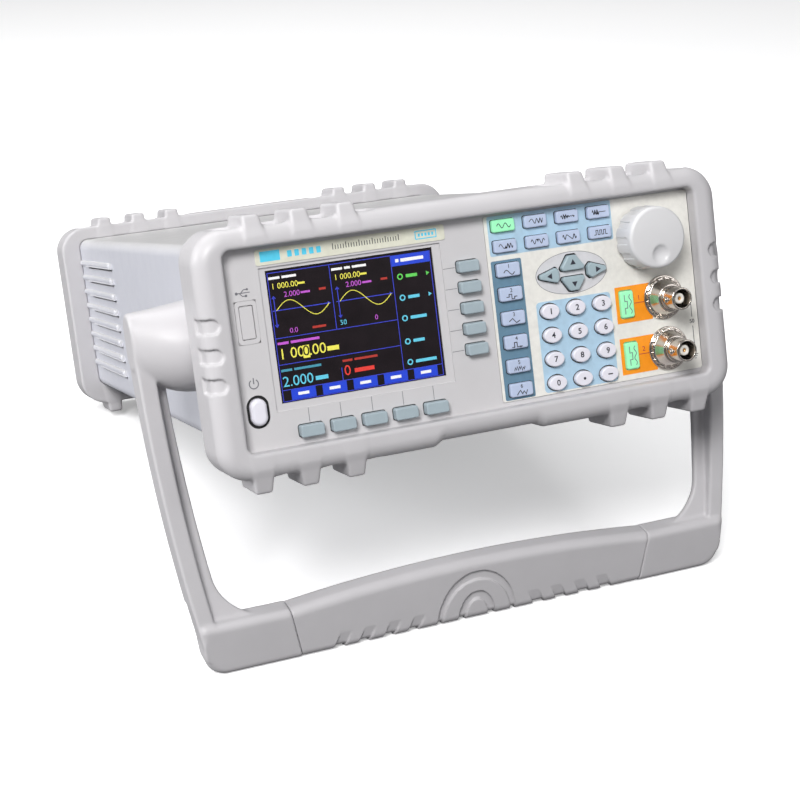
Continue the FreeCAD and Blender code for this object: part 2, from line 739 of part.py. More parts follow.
def jack(name, z):
    """One bayonet coaxial socket, relieved behind its lip, with its nut behind the panel."""
    turned = [
        rod(name + "_flange", ("jack_x", "-1.4", z), "y", "jack_flange", "1.4"),
        rod(name + "_step", ("jack_x", "-2.6", z), "y", "jack_flange - 1.1", "1.3"),
        rod(name + "_collar", ("jack_x", "-4.2", z), "y", "jack_flange - 2.3", "1.7"),
        rod(name + "_cone", ("jack_x", "-8.2", z), "y", "jack_barrel + 0.5", "4.0",
            tip="jack_flange - 2.9"),
        rod(name + "_barrel", ("jack_x", "-jack_front", z), "y", "jack_barrel - jack_relief",
            "jack_front"),
        rod(name + "_lip", ("jack_x", "-jack_front", z), "y", "jack_barrel", "jack_lip"),
        rod(name + "_tail", ("jack_x", "-0.5", z), "y", "jack_hole - 0.15", "13"),
        rod(name + "_nut", ("jack_x", "case_front", z), "y", "7.2", "2.4"),
        rod(name + "_lugs", ("jack_x", "-12.2", "%s - 5.9" % z), "z", "0.95", "11.8"),
    ]
    well = rod(name + "_well", ("jack_x", "-jack_front - 1", z), "y", "jack_bore", "10")
    shell_piece = cut(name + "_shell", join(name + "_metal", turned), [well])
    core = rod(name + "_core", ("jack_x", "-jack_front + 2.4", z), "y", "2.4", "8")
    contact = rod(name + "_contact", ("jack_x", "-jack_front + 1.6", z), "y", "1.1", "8")
    hole = rod(name + "_hole", ("jack_x", "-jack_front + 1", z), "y", "0.5", "4")
    return cut(name, join(name + "_all", [shell_piece, core, contact]), [hole])


def output_connectors():
    return group("output_connectors", [jack("jack_a", "jack_z"),
                                       jack("jack_b", "jack_z - jack_drop")])


# -------------------------------------------------------------------- internals

def display_module():
    """The colour screen: its glass stands in the window and its frame lies behind it."""
    glass = block("display_glass", ("window_left + 0.1", "1.2", "window_low + 0.1"),
                  ("window_right - 0.1", "case_front + 1", "window_top - 0.1"))
    back = block("display_back", ("window_left - 3.4", "case_front + 0.1", "window_low - 3.4"),
                 ("window_right + 3.4", "board_front - 0.5", "window_top + 3.4"))
    return join("display_module", [glass, back])


def circuit_boards():
    """The upright key board and the level main board, each with what is soldered to it."""
    key_board = block("key_board_sheet", ("-90", "board_front", "-39"),
                      ("104", "board_front + board_thick", "39.5"))
    holes = [rod("key_board_hole_%d" % step,
                 ("jack_x", "board_front - 1", "jack_z - jack_drop * %d" % step), "y", "7.8", "5")
             for step in range(2)]
    upright = cut("key_board", key_board, holes)
    sheet = block("main_board_sheet", ("-96", "34", "case_low + 8"),
                  ("96", "200", "case_low + 8 + board_thick"))
    holes = [rod("main_board_hole_%d" % step, (x, y, "case_low + 7"), "z", "1.6", "4")
             for step, (x, y) in enumerate(POSTS)]
    level = "case_low + 8 + board_thick - 0.05"
    parts = [
        block("signal_chip", ("-12", "80", level), ("12", "104", level + " + 2.6")),
        block("amplifier_sink", ("40", "60", level), ("80", "84", level + " + 22")),
        block("memory_chip", ("-50", "86", level), ("-34", "98", level + " + 2")),
        rod("filter_capacitor_a", ("-60", "160", level), "z", "9", "24"),
        rod("filter_capacitor_b", ("-36", "160", level), "z", "9", "24"),
        block("ribbon_header", ("-40", "38", level), ("10", "44", level + " + 9")),
    ]
    flat = join("main_board", [cut("main_board_drilled", sheet, holes)] + parts)
    return group("circuit_boards", [upright, flat])


def power_transformer():
    """A laminated mains transformer standing on the floor of the case."""
    low = "case_low + case_wall"
    core = block("transformer_core", ("-82", "250", low), ("-30", "292", low + " + 44"))
    winding = block("transformer_winding", ("-72", "242", low + " + 9"),
                    ("-40", "300", low + " + 35"))
    return join("power_transformer", [core, winding])


def rear_panel():
    """The rear plate, with the mains inlet's opening and two rows of air slots."""
    item = body("rear_panel")
    plate = sketch(item, "XZ_Plane", "-case_back")
    outline(plate, [("-case_half", "case_low"), ("case_half", "case_low"),
                    ("case_half", "case_top"), ("-case_half", "case_top")])
    pad(item, plate, "case_front", backwards=True)
    outer = number("case_half")
    rounding(item, "case_round",
             lambda edge: runs(edge, 1) and abs(abs(middle(edge).x) - outer) < 0.01)
    holes = sketch(item, "XZ_Plane", "-case_back + 1")
    rectangle(holes, "inlet_x", "inlet_z", "inlet_wide + 0.4", "inlet_high + 0.4")
    for x in ("-101.5", "101.5"):
        circle(holes, x, "-20", "1.7")
    pocket(item, holes, "case_front + 2")
    air = sketch(item, "XZ_Plane", "-case_back + 1")
    for z in ("14", "-14"):
        rectangle(air, "vent_start", z, "2.6", "20")
    slot = pocket(item, air, "case_front + 2")
    row = item.newObject("PartDesign::LinearPattern", "rear_panel_slots")
    row.Originals = [slot]
    row.Direction = (air, ["H_Axis"])
    bind(row, Length="vent_long", Occurrences="vent_count")
    item.Tip = row
    return item


def mains_inlet():
    """A three-pin mains inlet with its screw ears and a fuse drawer above it."""
    wide = "inlet_wide / 2"
    high = "inlet_high / 2"
    face = "case_back + case_front"
    sleeve = block("inlet_sleeve",
                   ("inlet_x - (%s)" % wide, "case_back - 14", "inlet_z - (%s)" % high),
                   ("inlet_x + (%s)" % wide, face + " + 1", "inlet_z + (%s)" % high))
    ears = block("inlet_ears", ("inlet_x - 25", face, "inlet_z - 11.5"),
                 ("inlet_x + 25", face + " + 2.2", "inlet_z + 11.5"))
    mouth = block("inlet_mouth", ("inlet_x - 12.2", "case_back - 12", "inlet_z - 8.2"),
                  ("inlet_x + 12.2", face + " + 4", "inlet_z + 8.2"))
    screws = [rod("inlet_hole_%d" % step, ("inlet_x + 20 * (%d)" % side, face + " - 1", "inlet_z"),
                  "y", "1.7", "6") for step, side in enumerate((-1, 1))]
    shell_piece = cut("inlet_shell", join("inlet_body", [sleeve, ears]), [mouth] + screws)
    blades = [block("inlet_blade_%d" % step,
                    ("inlet_x + %s - 2" % x, "case_back - 13", "inlet_z + %s - 1" % z),
                    ("inlet_x + %s + 2" % x, "case_back + 1", "inlet_z + %s + 1" % z))
              for step, (x, z) in enumerate((("-7", "-2"), ("0", "2"), ("7", "-2")))]
    return join("mains_inlet", [shell_piece] + blades)


def screw(name, seat_under_head, along, length):
    """A pan-head screw along Y or Z, driven backwards from the seat under its head."""
    axis = "xyz".index(along)
    point = list(seat_under_head)
    point[axis] = "%s - %s" % (seat_under_head[axis], length)
    shank = rod(name + "_shank", point, along, "1.5", length)
    head = rod(name + "_head", seat_under_head, along, "2.9", "1.8")
    return join(name, [shank, head])


def case_screws():
    """Two screws through the rear panel and four that hold the main board on its posts."""
    pieces = []
    for step, x in enumerate(("-101.5", "101.5")):
        pieces.append(screw("rear_screw_%d" % step, (x, "case_back + case_front", "-20"),
                            "y", "9"))
    for step, (x, y) in enumerate(POSTS):
        pieces.append(screw("board_screw_%d" % step, (x, y, "case_low + 8 + board_thick"),
                            "z", "7"))
    return group("case_screws", pieces)


# --------------------------------------------------------------- bail handle

def upright_turn():
    """Stands a sketch up: its X stays X and its Y becomes Z."""
    return FreeCAD.Rotation(V(1, 0, 0), 90)


def arm_bow(z):
    """The arm's outer X at a height: an arc from the hub that leans in to the bar."""
    lean = number("arm_half") - number("arm_foot")
    drop = number("hinge_z + 8") - number("bar_level + 14")
    fall = (number("hinge_z + 8") - z) / drop
    return number("arm_half") - lean * max(fall, 0) ** 2


def arm_rim():
    """The arm's outer wall, full depth, from its round top down into the bar's corner."""
    front = "hinge_y - arm_deep / 2"
    drawing = free_sketch("arm_rim_sketch", upright_turn(), ("0", front, "0"))
    top = number("arm_top")
    foot = number("bar_level + 12")
    half = (top + foot) / 2
    wall = number("arm_wall")
    outline(drawing, [
        (number("arm_half"), top, arm_bow(half), half), (arm_bow(foot), foot),
        (arm_bow(foot) - wall, foot, arm_bow(half) - wall, half), (number("arm_half") - wall, top)])
    plate = extruded("arm_rim", drawing, V(0, 1, 0), "arm_deep")
    return soften("arm_rim_soft", plate, [
        ("arm_deep / 2 - 0.6", lambda edge: runs(edge, 0) and abs(middle(edge).z - top) < 0.01)])


def arm_web():
    """The thinner wall inside the rim, which leans forward and fills the bar's corner."""
    front = "hinge_y - arm_deep / 2"
    drawing = free_sketch("arm_web_sketch", upright_turn(), ("0", front, "0"))
    top = number("hinge_z")
    bar_top = number("bar_level + bar_high") - 1.5
    knee = bar_top + number("bar_fillet")
    half = (top + knee) / 2
    wide = number("arm_wide")
    near = number("bar_fillet") * 0.293
    inside = arm_bow(knee) - wide
    outline(drawing, [
        (number("arm_half") - 1, top, arm_bow(half) - 1, half),
        (arm_bow(bar_top - 6) - 1, bar_top - 6),
        (inside - number("bar_fillet"), bar_top - 6), (inside - number("bar_fillet"), bar_top,
                                                       inside - near, bar_top + near),
        (inside, knee, arm_bow(half) - wide, half), (arm_bow(top) - wide, top)])
    plate = extruded("arm_web", drawing, V(0, 1, 0), "arm_deep")
    slope = math.degrees(math.atan2(number("web_upper - web_lower"), top - bar_top))
    slab = sloped_block("arm_web_slab", ("80", front + " + web_lower - 0.4", "bar_level + 16"),
                        "%.4f" % -slope, ("70", "web_thick", "arm_top - bar_level"))
    shared = DOC.addObject("Part::MultiCommon", "arm_web_leaning")
    shared.Shapes = [plate, slab]
    return shared


def sloped_block(name, place, tilt, size):
    """A box turned about X: place is its low front corner."""
    item = DOC.addObject("Part::Box", name)
    item.Placement = FreeCAD.Placement(V(), FreeCAD.Rotation(V(1, 0, 0), number(tilt)))
    bind(item, Length=size[0], Width=size[1], Height=size[2], Placement__Rotation__Angle=tilt)
    return move(item, place)


def drum():
    """The barrel that turns on the pivot, bulging a little, hollow as far as its floor."""
    drawing = free_sketch("drum_sketch", FreeCAD.Rotation(), ("0", "hinge_y", "hinge_z"))
    outline(drawing, [
        ("drum_start", "drum_hollow"), ("drum_floor", "drum_hollow"),
        ("drum_floor", "0"), ("drum_end", "0"),
        ("drum_end", "drum_tip", "drum_start + 10", "drum_base - 0.6"),
        ("drum_start", "drum_base")])
    item = DOC.addObject("Part::Revolution", "drum")
    item.Source = drawing
    item.Axis = V(1, 0, 0)
    item.Base = V(0, number("hinge_y"), number("hinge_z"))
    item.Angle = 360
    item.Solid = True
    return item


def handle_arms():
    """Both arms, each with its barrel, its stiffening web and its corner of the bar."""
    solid = join("arm_solid", [arm_rim(), arm_web(), bar_corner(), drum()])
    pin_hole = rod("pin_hole", ("drum_floor - 1", "hinge_y", "hinge_z"), "x",
                   "pin_radius + pin_fit", "pin_end - drum_floor + 1.3")
    right = cut("arm_right", solid, bar_trims() + [pin_hole])
    return group("handle_arms", [right, mirrored("arm_left", right)])


def bar_corner():
    """The end of the bar, out to the arm and round its lower corner."""
    turn = FreeCAD.Rotation(V(1, 0, 0), number("stand_tilt + 90"))
    drawing = free_sketch("corner_sketch", turn, ("0", "bar_front", "bar_level"))
    shoulder = arm_bow(number("bar_level + bar_high") - 1)
    outline(drawing, [
        ("bar_seam_low + bar_gap", "0"),
        ("arm_foot - arm_corner", "0",
         "arm_foot - arm_corner * 0.293", "arm_corner * 0.293"),
        ("arm_foot", "arm_corner"), (shoulder, "bar_high"), ("bar_seam_top + bar_gap", "bar_high")])
    flat = FreeCAD.Rotation(V(1, 0, 0), number("stand_tilt")).multVec(V(0, 1, 0))
    return extruded("bar_corner", drawing, flat, "bar_thick")


def bar_trims():
    """What the bar's slanting front and the bench line take off the arm's foot."""
    turn = number("stand_tilt")
    along = FreeCAD.Rotation(V(1, 0, 0), turn)
    foot = V(90, number("bar_front"), number("bar_level"))
    start = tuple(foot + along.multVec(V(0, -30, -30)))
    front = sloped_block("trim_front", start, "stand_tilt", ("60", "30", "60"))
    below = sloped_block("trim_below", start, "stand_tilt", ("60", "90", "30"))
    return [front, below]


def handle_grip():
    """The middle of the bar between the slanting seams, arched along its top."""
    item = body("handle_grip")
    drawing = sketch(item, "XZ_Plane", "0")
    outline(drawing, [
        ("-bar_seam_low", "0"), ("bar_seam_low", "0"),
        ("bar_seam_top", "bar_high", "0", "bar_arch"), ("-bar_seam_top", "bar_high")])
    pad(item, drawing, "bar_thick", backwards=True)
    rounding(item, "bar_soft", lambda edge: middle(edge).z > number("bar_high") - 2
             and abs(middle(edge).x) < 1)
    rounding(item, "2.5", lambda edge: runs(edge, 0) and middle(edge).z < 0.01)
    SEATS[item.Label] = FreeCAD.Placement(
        V(0, number("bar_front"), number("bar_level")),
        FreeCAD.Rotation(V(1, 0, 0), number("stand_tilt")))
    return item


def handle_pivots():
    """The fixed hubs on the case sides that the barrels turn on."""
    flange = rod("pivot_hub", ("case_half", "hinge_y", "hinge_z"), "x", "pivot_radius",
                 "pivot_end - case_half")
    pin = rod("pivot_pin", ("pivot_end - 2", "hinge_y", "hinge_z"), "x", "pin_radius",
              "pin_end - pivot_end + 2")
    right = join("pivot_right", [flange, pin])
    return group("handle_pivots", [right, mirrored("pivot_left", right)])


# ------------------------------------------------------------------- assembly

def rear_bumper():
    """The same moulding as the front one, turned round to the back."""
    item = bumper("rear_bumper")
    SEATS[item.Label] = FreeCAD.Placement(
        V(0, number("rear_face - bumper_lip"), 0), FreeCAD.Rotation(V(0, 0, 1), 180))
    return item


def build():
    pieces = [bumper("front_bumper"), rear_bumper(), top_cover(), bottom_cover(), front_panel(),
              display_module(), tuning_knob(), rotary_encoder(), output_connectors(),
              circuit_boards(), power_transformer(), rear_panel(), mains_inlet(),
              case_screws(), handle_grip(), handle_arms(), handle_pivots(), power_button()]
    pieces += [square_key(*key) for key in key_grid()]
    pieces += [oval_key(*key) for key in digit_grid()]
    pieces += [arrow_key(name) for name in ARROWS]
    DOC.recompute()
    return pieces


def stand_up(pieces):
    """Tip the level instrument onto its bail and set the origin under its box."""
    tip = FreeCAD.Rotation(V(1, 0, 0), -number("stand_tilt"))
    box = FreeCAD.BoundBox()
    for piece in pieces:
        level = SEATS.get(piece.Label, FreeCAD.Placement())
        shape = piece.Shape.copy()
        shape.Placement = FreeCAD.Placement(V(), tip).multiply(level)
        box.add(shape.optimalBoundingBox(False, False))
    shift = V(-(box.XMin + box.XMax) / 2, -(box.YMin + box.YMax) / 2, -box.ZMin)
    stand = FreeCAD.Placement(shift, tip)
    for piece in pieces:
        piece.Placement = stand.multiply(SEATS.get(piece.Label, FreeCAD.Placement()))
    DOC.recompute()
    print("box %.2f x %.2f x %.2f" % (box.XLength, box.YLength, box.ZLength))
    print("level origin stands at %.4f %.4f %.4f" % tuple(shift))


def check(pieces):
    for item in DOC.Objects:
        bad = [word for word in item.State if word in ("Invalid", "Error")]
        if bad:
            raise RuntimeError("%s is %s" % (item.Name, bad))
    for piece in pieces:
        if piece.Shape.isNull() or not piece.Shape.isValid() or not piece.Shape.Solids:
            raise RuntimeError("%s has no valid solid" % piece.Label)


def write(pieces):
    os.makedirs("parts", exist_ok=True)
    for piece in pieces:
        piece.Shape.exportStep("parts/%s.step" % piece.Label)
        print("%-20s %8.2f cm3  %d solids" % (
            piece.Label, piece.Shape.Volume / 1000, len(piece.Shape.Solids)))


fill_sheet()
PIECES = build()
stand_up(PIECES)
check(PIECES)
write(PIECES)
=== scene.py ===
"""A bench function generator standing on its swinging handle."""
import json
import math

import bmesh
import bpy
import numpy as np
from mathutils import Matrix, Vector, geometry


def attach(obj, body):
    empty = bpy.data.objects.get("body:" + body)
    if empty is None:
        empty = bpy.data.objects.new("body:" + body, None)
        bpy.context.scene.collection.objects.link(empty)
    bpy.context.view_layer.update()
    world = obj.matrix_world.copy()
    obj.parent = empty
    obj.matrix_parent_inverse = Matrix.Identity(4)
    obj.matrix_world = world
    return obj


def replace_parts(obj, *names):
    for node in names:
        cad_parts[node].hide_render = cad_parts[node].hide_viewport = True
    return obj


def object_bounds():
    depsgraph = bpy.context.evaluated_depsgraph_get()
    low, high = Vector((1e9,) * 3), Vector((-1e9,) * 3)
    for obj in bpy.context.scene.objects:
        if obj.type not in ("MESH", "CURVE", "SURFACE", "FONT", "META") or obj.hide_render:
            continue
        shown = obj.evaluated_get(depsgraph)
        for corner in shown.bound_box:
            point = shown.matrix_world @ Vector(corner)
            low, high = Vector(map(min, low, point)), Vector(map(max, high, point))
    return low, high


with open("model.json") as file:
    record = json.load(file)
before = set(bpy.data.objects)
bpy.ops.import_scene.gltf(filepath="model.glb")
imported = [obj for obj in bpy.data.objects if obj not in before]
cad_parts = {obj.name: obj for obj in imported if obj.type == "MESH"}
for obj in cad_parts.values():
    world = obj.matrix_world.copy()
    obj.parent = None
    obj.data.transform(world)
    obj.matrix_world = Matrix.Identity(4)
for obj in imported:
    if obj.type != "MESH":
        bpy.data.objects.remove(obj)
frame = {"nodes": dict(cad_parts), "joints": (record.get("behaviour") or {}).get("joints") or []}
cad_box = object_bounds()

MM = 0.001
JACKS = ((90.0, -5.5), (90.0, -28.2))  # X and Z of the output sockets
KNOB_SEAT = (83.1, 21.9)  # the knob's place from the middle of the front panel, mm
INK = 0.07  # how far print stands off its face, mm
CARD_FACE = -0.05  # Y of the printed card's face on the right of the panel


# ------------------------------------------------------------ level frame, mm
# The instrument leans back on its handle. Shapes are drawn in a level frame: X to the
# right, Y into the instrument, Z up, from the middle of the front panel.

def joint(name):
    return next(j for j in frame["joints"] if j["name"] == name)


def level_frame():
    """From the level frame in metres to the row frame."""
    knob = joint("knob_turn")
    inward = -Vector(knob["axis"])
    across = Vector((1, 0, 0))
    upward = across.cross(inward)
    turn = Matrix((across, inward, upward)).transposed().to_4x4()
    seat = Vector(knob["pos_m"]) - (across * KNOB_SEAT[0] + upward * KNOB_SEAT[1]) * MM
    return Matrix.Translation(seat) @ turn


LEVEL = level_frame()
LEAN = math.atan2(LEVEL[1][2], LEVEL[2][2])


def level_box(node):
    """Lowest and highest corners of a CAD node in the level frame, in mm."""
    mesh = frame["nodes"][node].data
    points = np.zeros(len(mesh.vertices) * 3)
    mesh.vertices.foreach_get("co", points)
    back = np.array(LEVEL.inverted())
    points = (points.reshape(-1, 3) @ back[:3, :3].T + back[:3, 3]) / MM
    return points.min(0), points.max(0)


def face_of(node):
    """The middle of a key's face, as X, Z and the Y of its front, in mm."""
    low, high = level_box(node)
    return (low[0] + high[0]) / 2, (low[2] + high[2]) / 2, low[1]


# ------------------------------------------------------------------ materials

class Paint:
    """A node material, built up from its Principled shader."""

    def __init__(self, name, colour, rough, metallic=0.0, specular=0.5, coat=0.0):
        self.material = bpy.data.materials.new(name)
        self.material.use_nodes = True
        self.nodes = self.material.node_tree.nodes
        self.links = self.material.node_tree.links
        self.shader = self.nodes["Principled BSDF"]
        self.shader.inputs["Base Color"].default_value = (*colour, 1)
        self.shader.inputs["Roughness"].default_value = rough
        self.shader.inputs["Metallic"].default_value = metallic
        self.shader.inputs["Specular IOR Level"].default_value = specular
        self.shader.inputs["Coat Weight"].default_value = coat
        self.place = self.nodes.new("ShaderNodeTexCoord").outputs["Object"]
        self.colour = colour
        self.bumped = None

    def noise(self, grain, detail=3.0, stretch=None):
        """Noise whose marks are about that many mm across."""
        node = self.nodes.new("ShaderNodeTexNoise")
        node.inputs["Scale"].default_value = 1 / (grain * MM)
        node.inputs["Detail"].default_value = detail
        if stretch:
            mapping = self.nodes.new("ShaderNodeMapping")
            mapping.inputs["Scale"].default_value = stretch
            self.links.new(self.place, mapping.inputs["Vector"])
            self.links.new(mapping.outputs["Vector"], node.inputs["Vector"])
        else:
            self.links.new(self.place, node.inputs["Vector"])
        return node.outputs["Fac"]

    def ramp(self, value, first, last, low=0.3, high=0.7):
        """Spreads a value's low to high over two colours."""
        node = self.nodes.new("ShaderNodeValToRGB")
        node.color_ramp.elements[0].position = low
        node.color_ramp.elements[1].position = high
        node.color_ramp.elements[0].color = (*first, 1)
        node.color_ramp.elements[1].color = (*last, 1)
        self.links.new(value, node.inputs["Fac"])
        return node.outputs["Color"]

    def vary(self, grain, share, detail=3.0):
        """The colour drifts lighter and darker by that share."""
        dark = [c * (1 - share) for c in self.colour]
        light = [min(1, c * (1 + share)) for c in self.colour]
        shade = self.ramp(self.noise(grain, detail), dark, light)
        self.links.new(shade, self.shader.inputs["Base Color"])
        return self

    def mottle(self, grain, low, high, detail=3.0):
        """The gloss varies between two roughnesses."""
        node = self.nodes.new("ShaderNodeMapRange")
        node.inputs["To Min"].default_value = low
        node.inputs["To Max"].default_value = high
        node.inputs["From Min"].default_value = 0.3
        node.inputs["From Max"].default_value = 0.7
        self.links.new(self.noise(grain, detail), node.inputs["Value"])
        self.links.new(node.outputs["Result"], self.shader.inputs["Roughness"])
        return self

    def bump(self, grain, depth, detail=2.0, stretch=None):
        """A fine relief, its depth in mm."""
        node = self.nodes.new("ShaderNodeBump")
        node.inputs["Distance"].default_value = depth * MM
        node.inputs["Strength"].default_value = 1.0
        self.links.new(self.noise(grain, detail, stretch), node.inputs["Height"])
        if self.bumped:
            self.links.new(self.bumped, node.inputs["Normal"])
        self.bumped = node.outputs["Normal"]
        self.links.new(self.bumped, self.shader.inputs["Normal"])
        return self

    def glow(self, strength):
        self.shader.inputs["Emission Color"].default_value = (*self.colour, 1)
        self.shader.inputs["Emission Strength"].default_value = strength
        return self


def moulded(name, colour, rough=0.42, grain=0.55, relief=0.012):
    """Moulded plastic with a spark-eroded grain."""
    paint = Paint(name, colour, rough, specular=0.4)
    paint.vary(18, 0.02)
    paint.mottle(6, rough - 0.05, rough + 0.06)
    paint.bump(grain, relief)
    return paint.bump(14, 0.03)


def printed(name, colour, rough=0.45):
    """Screen-printed ink."""
    paint = Paint(name, colour, rough, specular=0.35)
    paint.vary(2.5, 0.05, detail=5)
    return paint.bump(0.25, 0.004)


def lit(name, colour):
    """Lit pixels behind the screen's window."""
    paint = Paint(name, colour, 0.3)
    paint.vary(0.35, 0.12, detail=1)
    return paint.glow(0.14)


def case_paint():
    """Satin paint with a painted cast: bluer on the sides and warmer on the top, picked by which way
    each face points.
    """
    paint = Paint("case paint", (0.61, 0.62, 0.68), 0.36, specular=0.45)
    painted_side_cast = paint.ramp(paint.noise(30), (0.60, 0.61, 0.67), (0.62, 0.63, 0.69))
    painted_top_cast = paint.ramp(paint.noise(24), (0.595, 0.59, 0.59), (0.615, 0.61, 0.61))
    facing = paint.nodes.new("ShaderNodeTexCoord").outputs["Normal"]
    split = paint.nodes.new("ShaderNodeSeparateXYZ")
    paint.links.new(facing, split.inputs[0])
    # Painted cast: the face's upward normal mixes the cool side tint into the warm top tint.
    mix = paint.nodes.new("ShaderNodeMix")
    mix.data_type = "RGBA"
    paint.links.new(split.outputs["Z"], mix.inputs["Factor"])
    paint.links.new(painted_side_cast, mix.inputs["A"])
    paint.links.new(painted_top_cast, mix.inputs["B"])
    paint.links.new(mix.outputs["Result"], paint.shader.inputs["Base Color"])
    return paint.mottle(9, 0.30, 0.42).bump(0.8, 0.010).bump(20, 0.02)


PAINTS = {
    "bumper_plastic": moulded("bumper grain", (0.545, 0.535, 0.55)),
    "case_paint": case_paint(),
    "rear_paint": Paint("rear paint", (0.60, 0.61, 0.66), 0.4)
        .vary(25, 0.03).mottle(8, 0.34, 0.46).bump(0.7, 0.012),
    "panel_plastic": moulded("panel face", (0.60, 0.59, 0.60), 0.45, grain=0.4, relief=0.006),
    "screen_glass": Paint("screen glass", (0.012, 0.008, 0.010), 0.16, coat=0.3)
        .vary(6, 0.2).mottle(10, 0.12, 0.2),
    "knob_plastic": moulded("knob plastic", (0.66, 0.66, 0.67), 0.34, grain=0.3, relief=0.004),
    "plated_metal": Paint("nickel plate", (0.62, 0.57, 0.52), 0.2, metallic=1.0)
        .vary(3, 0.05).mottle(1.5, 0.13, 0.22).bump(1.2, 0.004),
    "pivot_metal": Paint("turned pivot", (0.6, 0.6, 0.61), 0.3, metallic=1.0)
        .vary(2, 0.06).mottle(1.5, 0.24, 0.38),
    "board": Paint("solder mask", (0.02, 0.16, 0.06), 0.3).vary(4, 0.15).bump(1.5, 0.02),
    "iron_core": Paint("laminations", (0.10, 0.09, 0.085), 0.5, metallic=0.6)
        .vary(1, 0.2).bump(0.5, 0.03, stretch=(8, 1, 1)),
    "insulator": Paint("jack insulator", (0.78, 0.76, 0.70), 0.35).vary(1, 0.04),
    "gold": Paint("contact plate", (0.80, 0.45, 0.18), 0.25, metallic=1.0).vary(0.6, 0.1),
    "black_plastic": moulded("black plastic", (0.02, 0.02, 0.021), 0.4),
    "soft_key": Paint("grey-blue key", (0.37, 0.45, 0.49), 0.38, specular=0.45)
        .vary(4, 0.03).mottle(2, 0.32, 0.44).bump(0.3, 0.004),
    "blue_key": Paint("pale blue key", (0.50, 0.58, 0.76), 0.36, specular=0.45)
        .vary(4, 0.03).mottle(2, 0.3, 0.42).bump(0.3, 0.004),
    "green_key": Paint("lit green key", (0.30, 0.80, 0.45), 0.34, specular=0.45)
        .vary(3, 0.06).mottle(2, 0.3, 0.4).glow(0.25),
    "white_key": Paint("white key", (0.80, 0.79, 0.86), 0.3, specular=0.5)
        .vary(4, 0.01).mottle(3, 0.27, 0.33).bump(0.3, 0.002),
    "arrow_key": Paint("arrow key", (0.36, 0.46, 0.50), 0.38, specular=0.45)
        .vary(4, 0.03).mottle(2, 0.32, 0.44).bump(0.3, 0.004),
}


def dress_cad():
    """Each CAD node takes the paint of its slot in the record."""
    for item in frame["nodes"].values():
        for seat in item.material_slots:
            seat.material = PAINTS[seat.material.name.split(".")[0]].material


# ---------------------------------------------------------------- mesh making

def placed(name, data):
    """A new object in the scene."""
    item = bpy.data.objects.new(name, data)
    bpy.context.scene.collection.objects.link(item)
    return item


def finished(name, mesh, body, slot, paint=None):
    """Stands a level mesh in mm on its CAD body, in its slot's paint or another."""
    mesh.transform(LEVEL @ Matrix.Scale(MM, 4))
    mesh.materials.append((paint or PAINTS[slot]).material)
    item = placed(name, mesh)
    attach(item, body)
    return item


def piece(name, bm, body, slot, paint=None, smooth=False):
    """A finished object from a bmesh, its faces turned outward."""
    bmesh.ops.recalc_face_normals(bm, faces=bm.faces)
    for face in bm.faces:
        face.smooth = smooth
    mesh = bpy.data.meshes.new(name)
    bm.to_mesh(mesh)
    bm.free()
    return finished(name, mesh, body, slot, paint)


def slab(bm, loops, front, back):
    """A flat plate facing the front: the first loop of (X, Z) is its edge, the others holes."""
    rims = []
    for loop in loops:
        near = [bm.verts.new((x, front, z)) for x, z in loop]
        far = [bm.verts.new((x, back, z)) for x, z in loop]
        rims.append((near, far))
    twin = {a: b for near, far in rims for a, b in zip(near, far)}
    edges = [bm.edges.new((near[i - 1], near[i])) for near, far in rims for i in range(len(near))]
    if len(loops) == 1:
        faces = [bm.faces.new(rims[0][0])]
    else:
        filled = bmesh.ops.triangle_fill(bm, edges=edges, use_beauty=True, normal=(0, -1, 0))
        faces = [item for item in filled["geom"] if isinstance(item, bmesh.types.BMFace)]
    for face in faces:
        bm.faces.new([twin[v] for v in reversed(face.verts)])
    for near, far in rims:
        for i in range(len(near)):
            bm.faces.new((near[i - 1], near[i], far[i], far[i - 1]))


def oblong(x, z, wide, high, radius, steps=6):
    """A rounded rectangle's outline about its middle."""
    radius = min(radius, wide / 2 - 0.001, high / 2 - 0.001)
    points = []
    for quarter in range(4):
        side_x = 1 if quarter in (0, 3) else -1
        side_z = 1 if quarter in (0, 1) else -1
        for step in range(steps + 1):
            angle = math.pi / 2 * (quarter + step / steps)
            points.append((x + side_x * (wide / 2 - radius) + radius * math.cos(angle),
                           z + side_z * (high / 2 - radius) + radius * math.sin(angle)))
    return points


def ellipse(x, z, wide, high, steps=48):
    turns = [2 * math.pi * i / steps for i in range(steps)]
    return [(x + wide / 2 * math.cos(a), z + high / 2 * math.sin(a)) for a in turns]


def ribbon(points, width):
    """The outline of a line of that width drawn along the points."""
    sides = ([], [])
    for i, (x, z) in enumerate(points):
        before = Vector(points[max(i - 1, 0)])
        after = Vector(points[min(i + 1, len(points) - 1)])
        here = Vector((x, z))
        into = (here - before).normalized() if i else (after - here).normalized()
        out = (after - here).normalized() if i < len(points) - 1 else into
        along = (into + out).normalized()
        across = Vector((-along.y, along.x))
        reach = width / 2 / max(along.dot(into), 0.5)
        sides[0].append(tuple(here + across * reach))
        sides[1].append(tuple(here - across * reach))
    return sides[0] + sides[1][::-1]


def strokes(name, lines, width, front, body, slot, paint, lift=INK):
    """Printed lines standing just off a face."""
    bm = bmesh.new()
    for line in lines:
        slab(bm, [ribbon(line, width)], front - lift, front + 0.02)
    return piece(name, bm, body, slot, paint)


def patches(name, outlines, front, body, slot, paint, lift=INK):
    """Printed patches; each is a list of loops, the first its edge."""
    bm = bmesh.new()
    for loops in outlines:
        slab(bm, loops, front - lift, front + 0.02)
    return piece(name, bm, body, slot, paint)


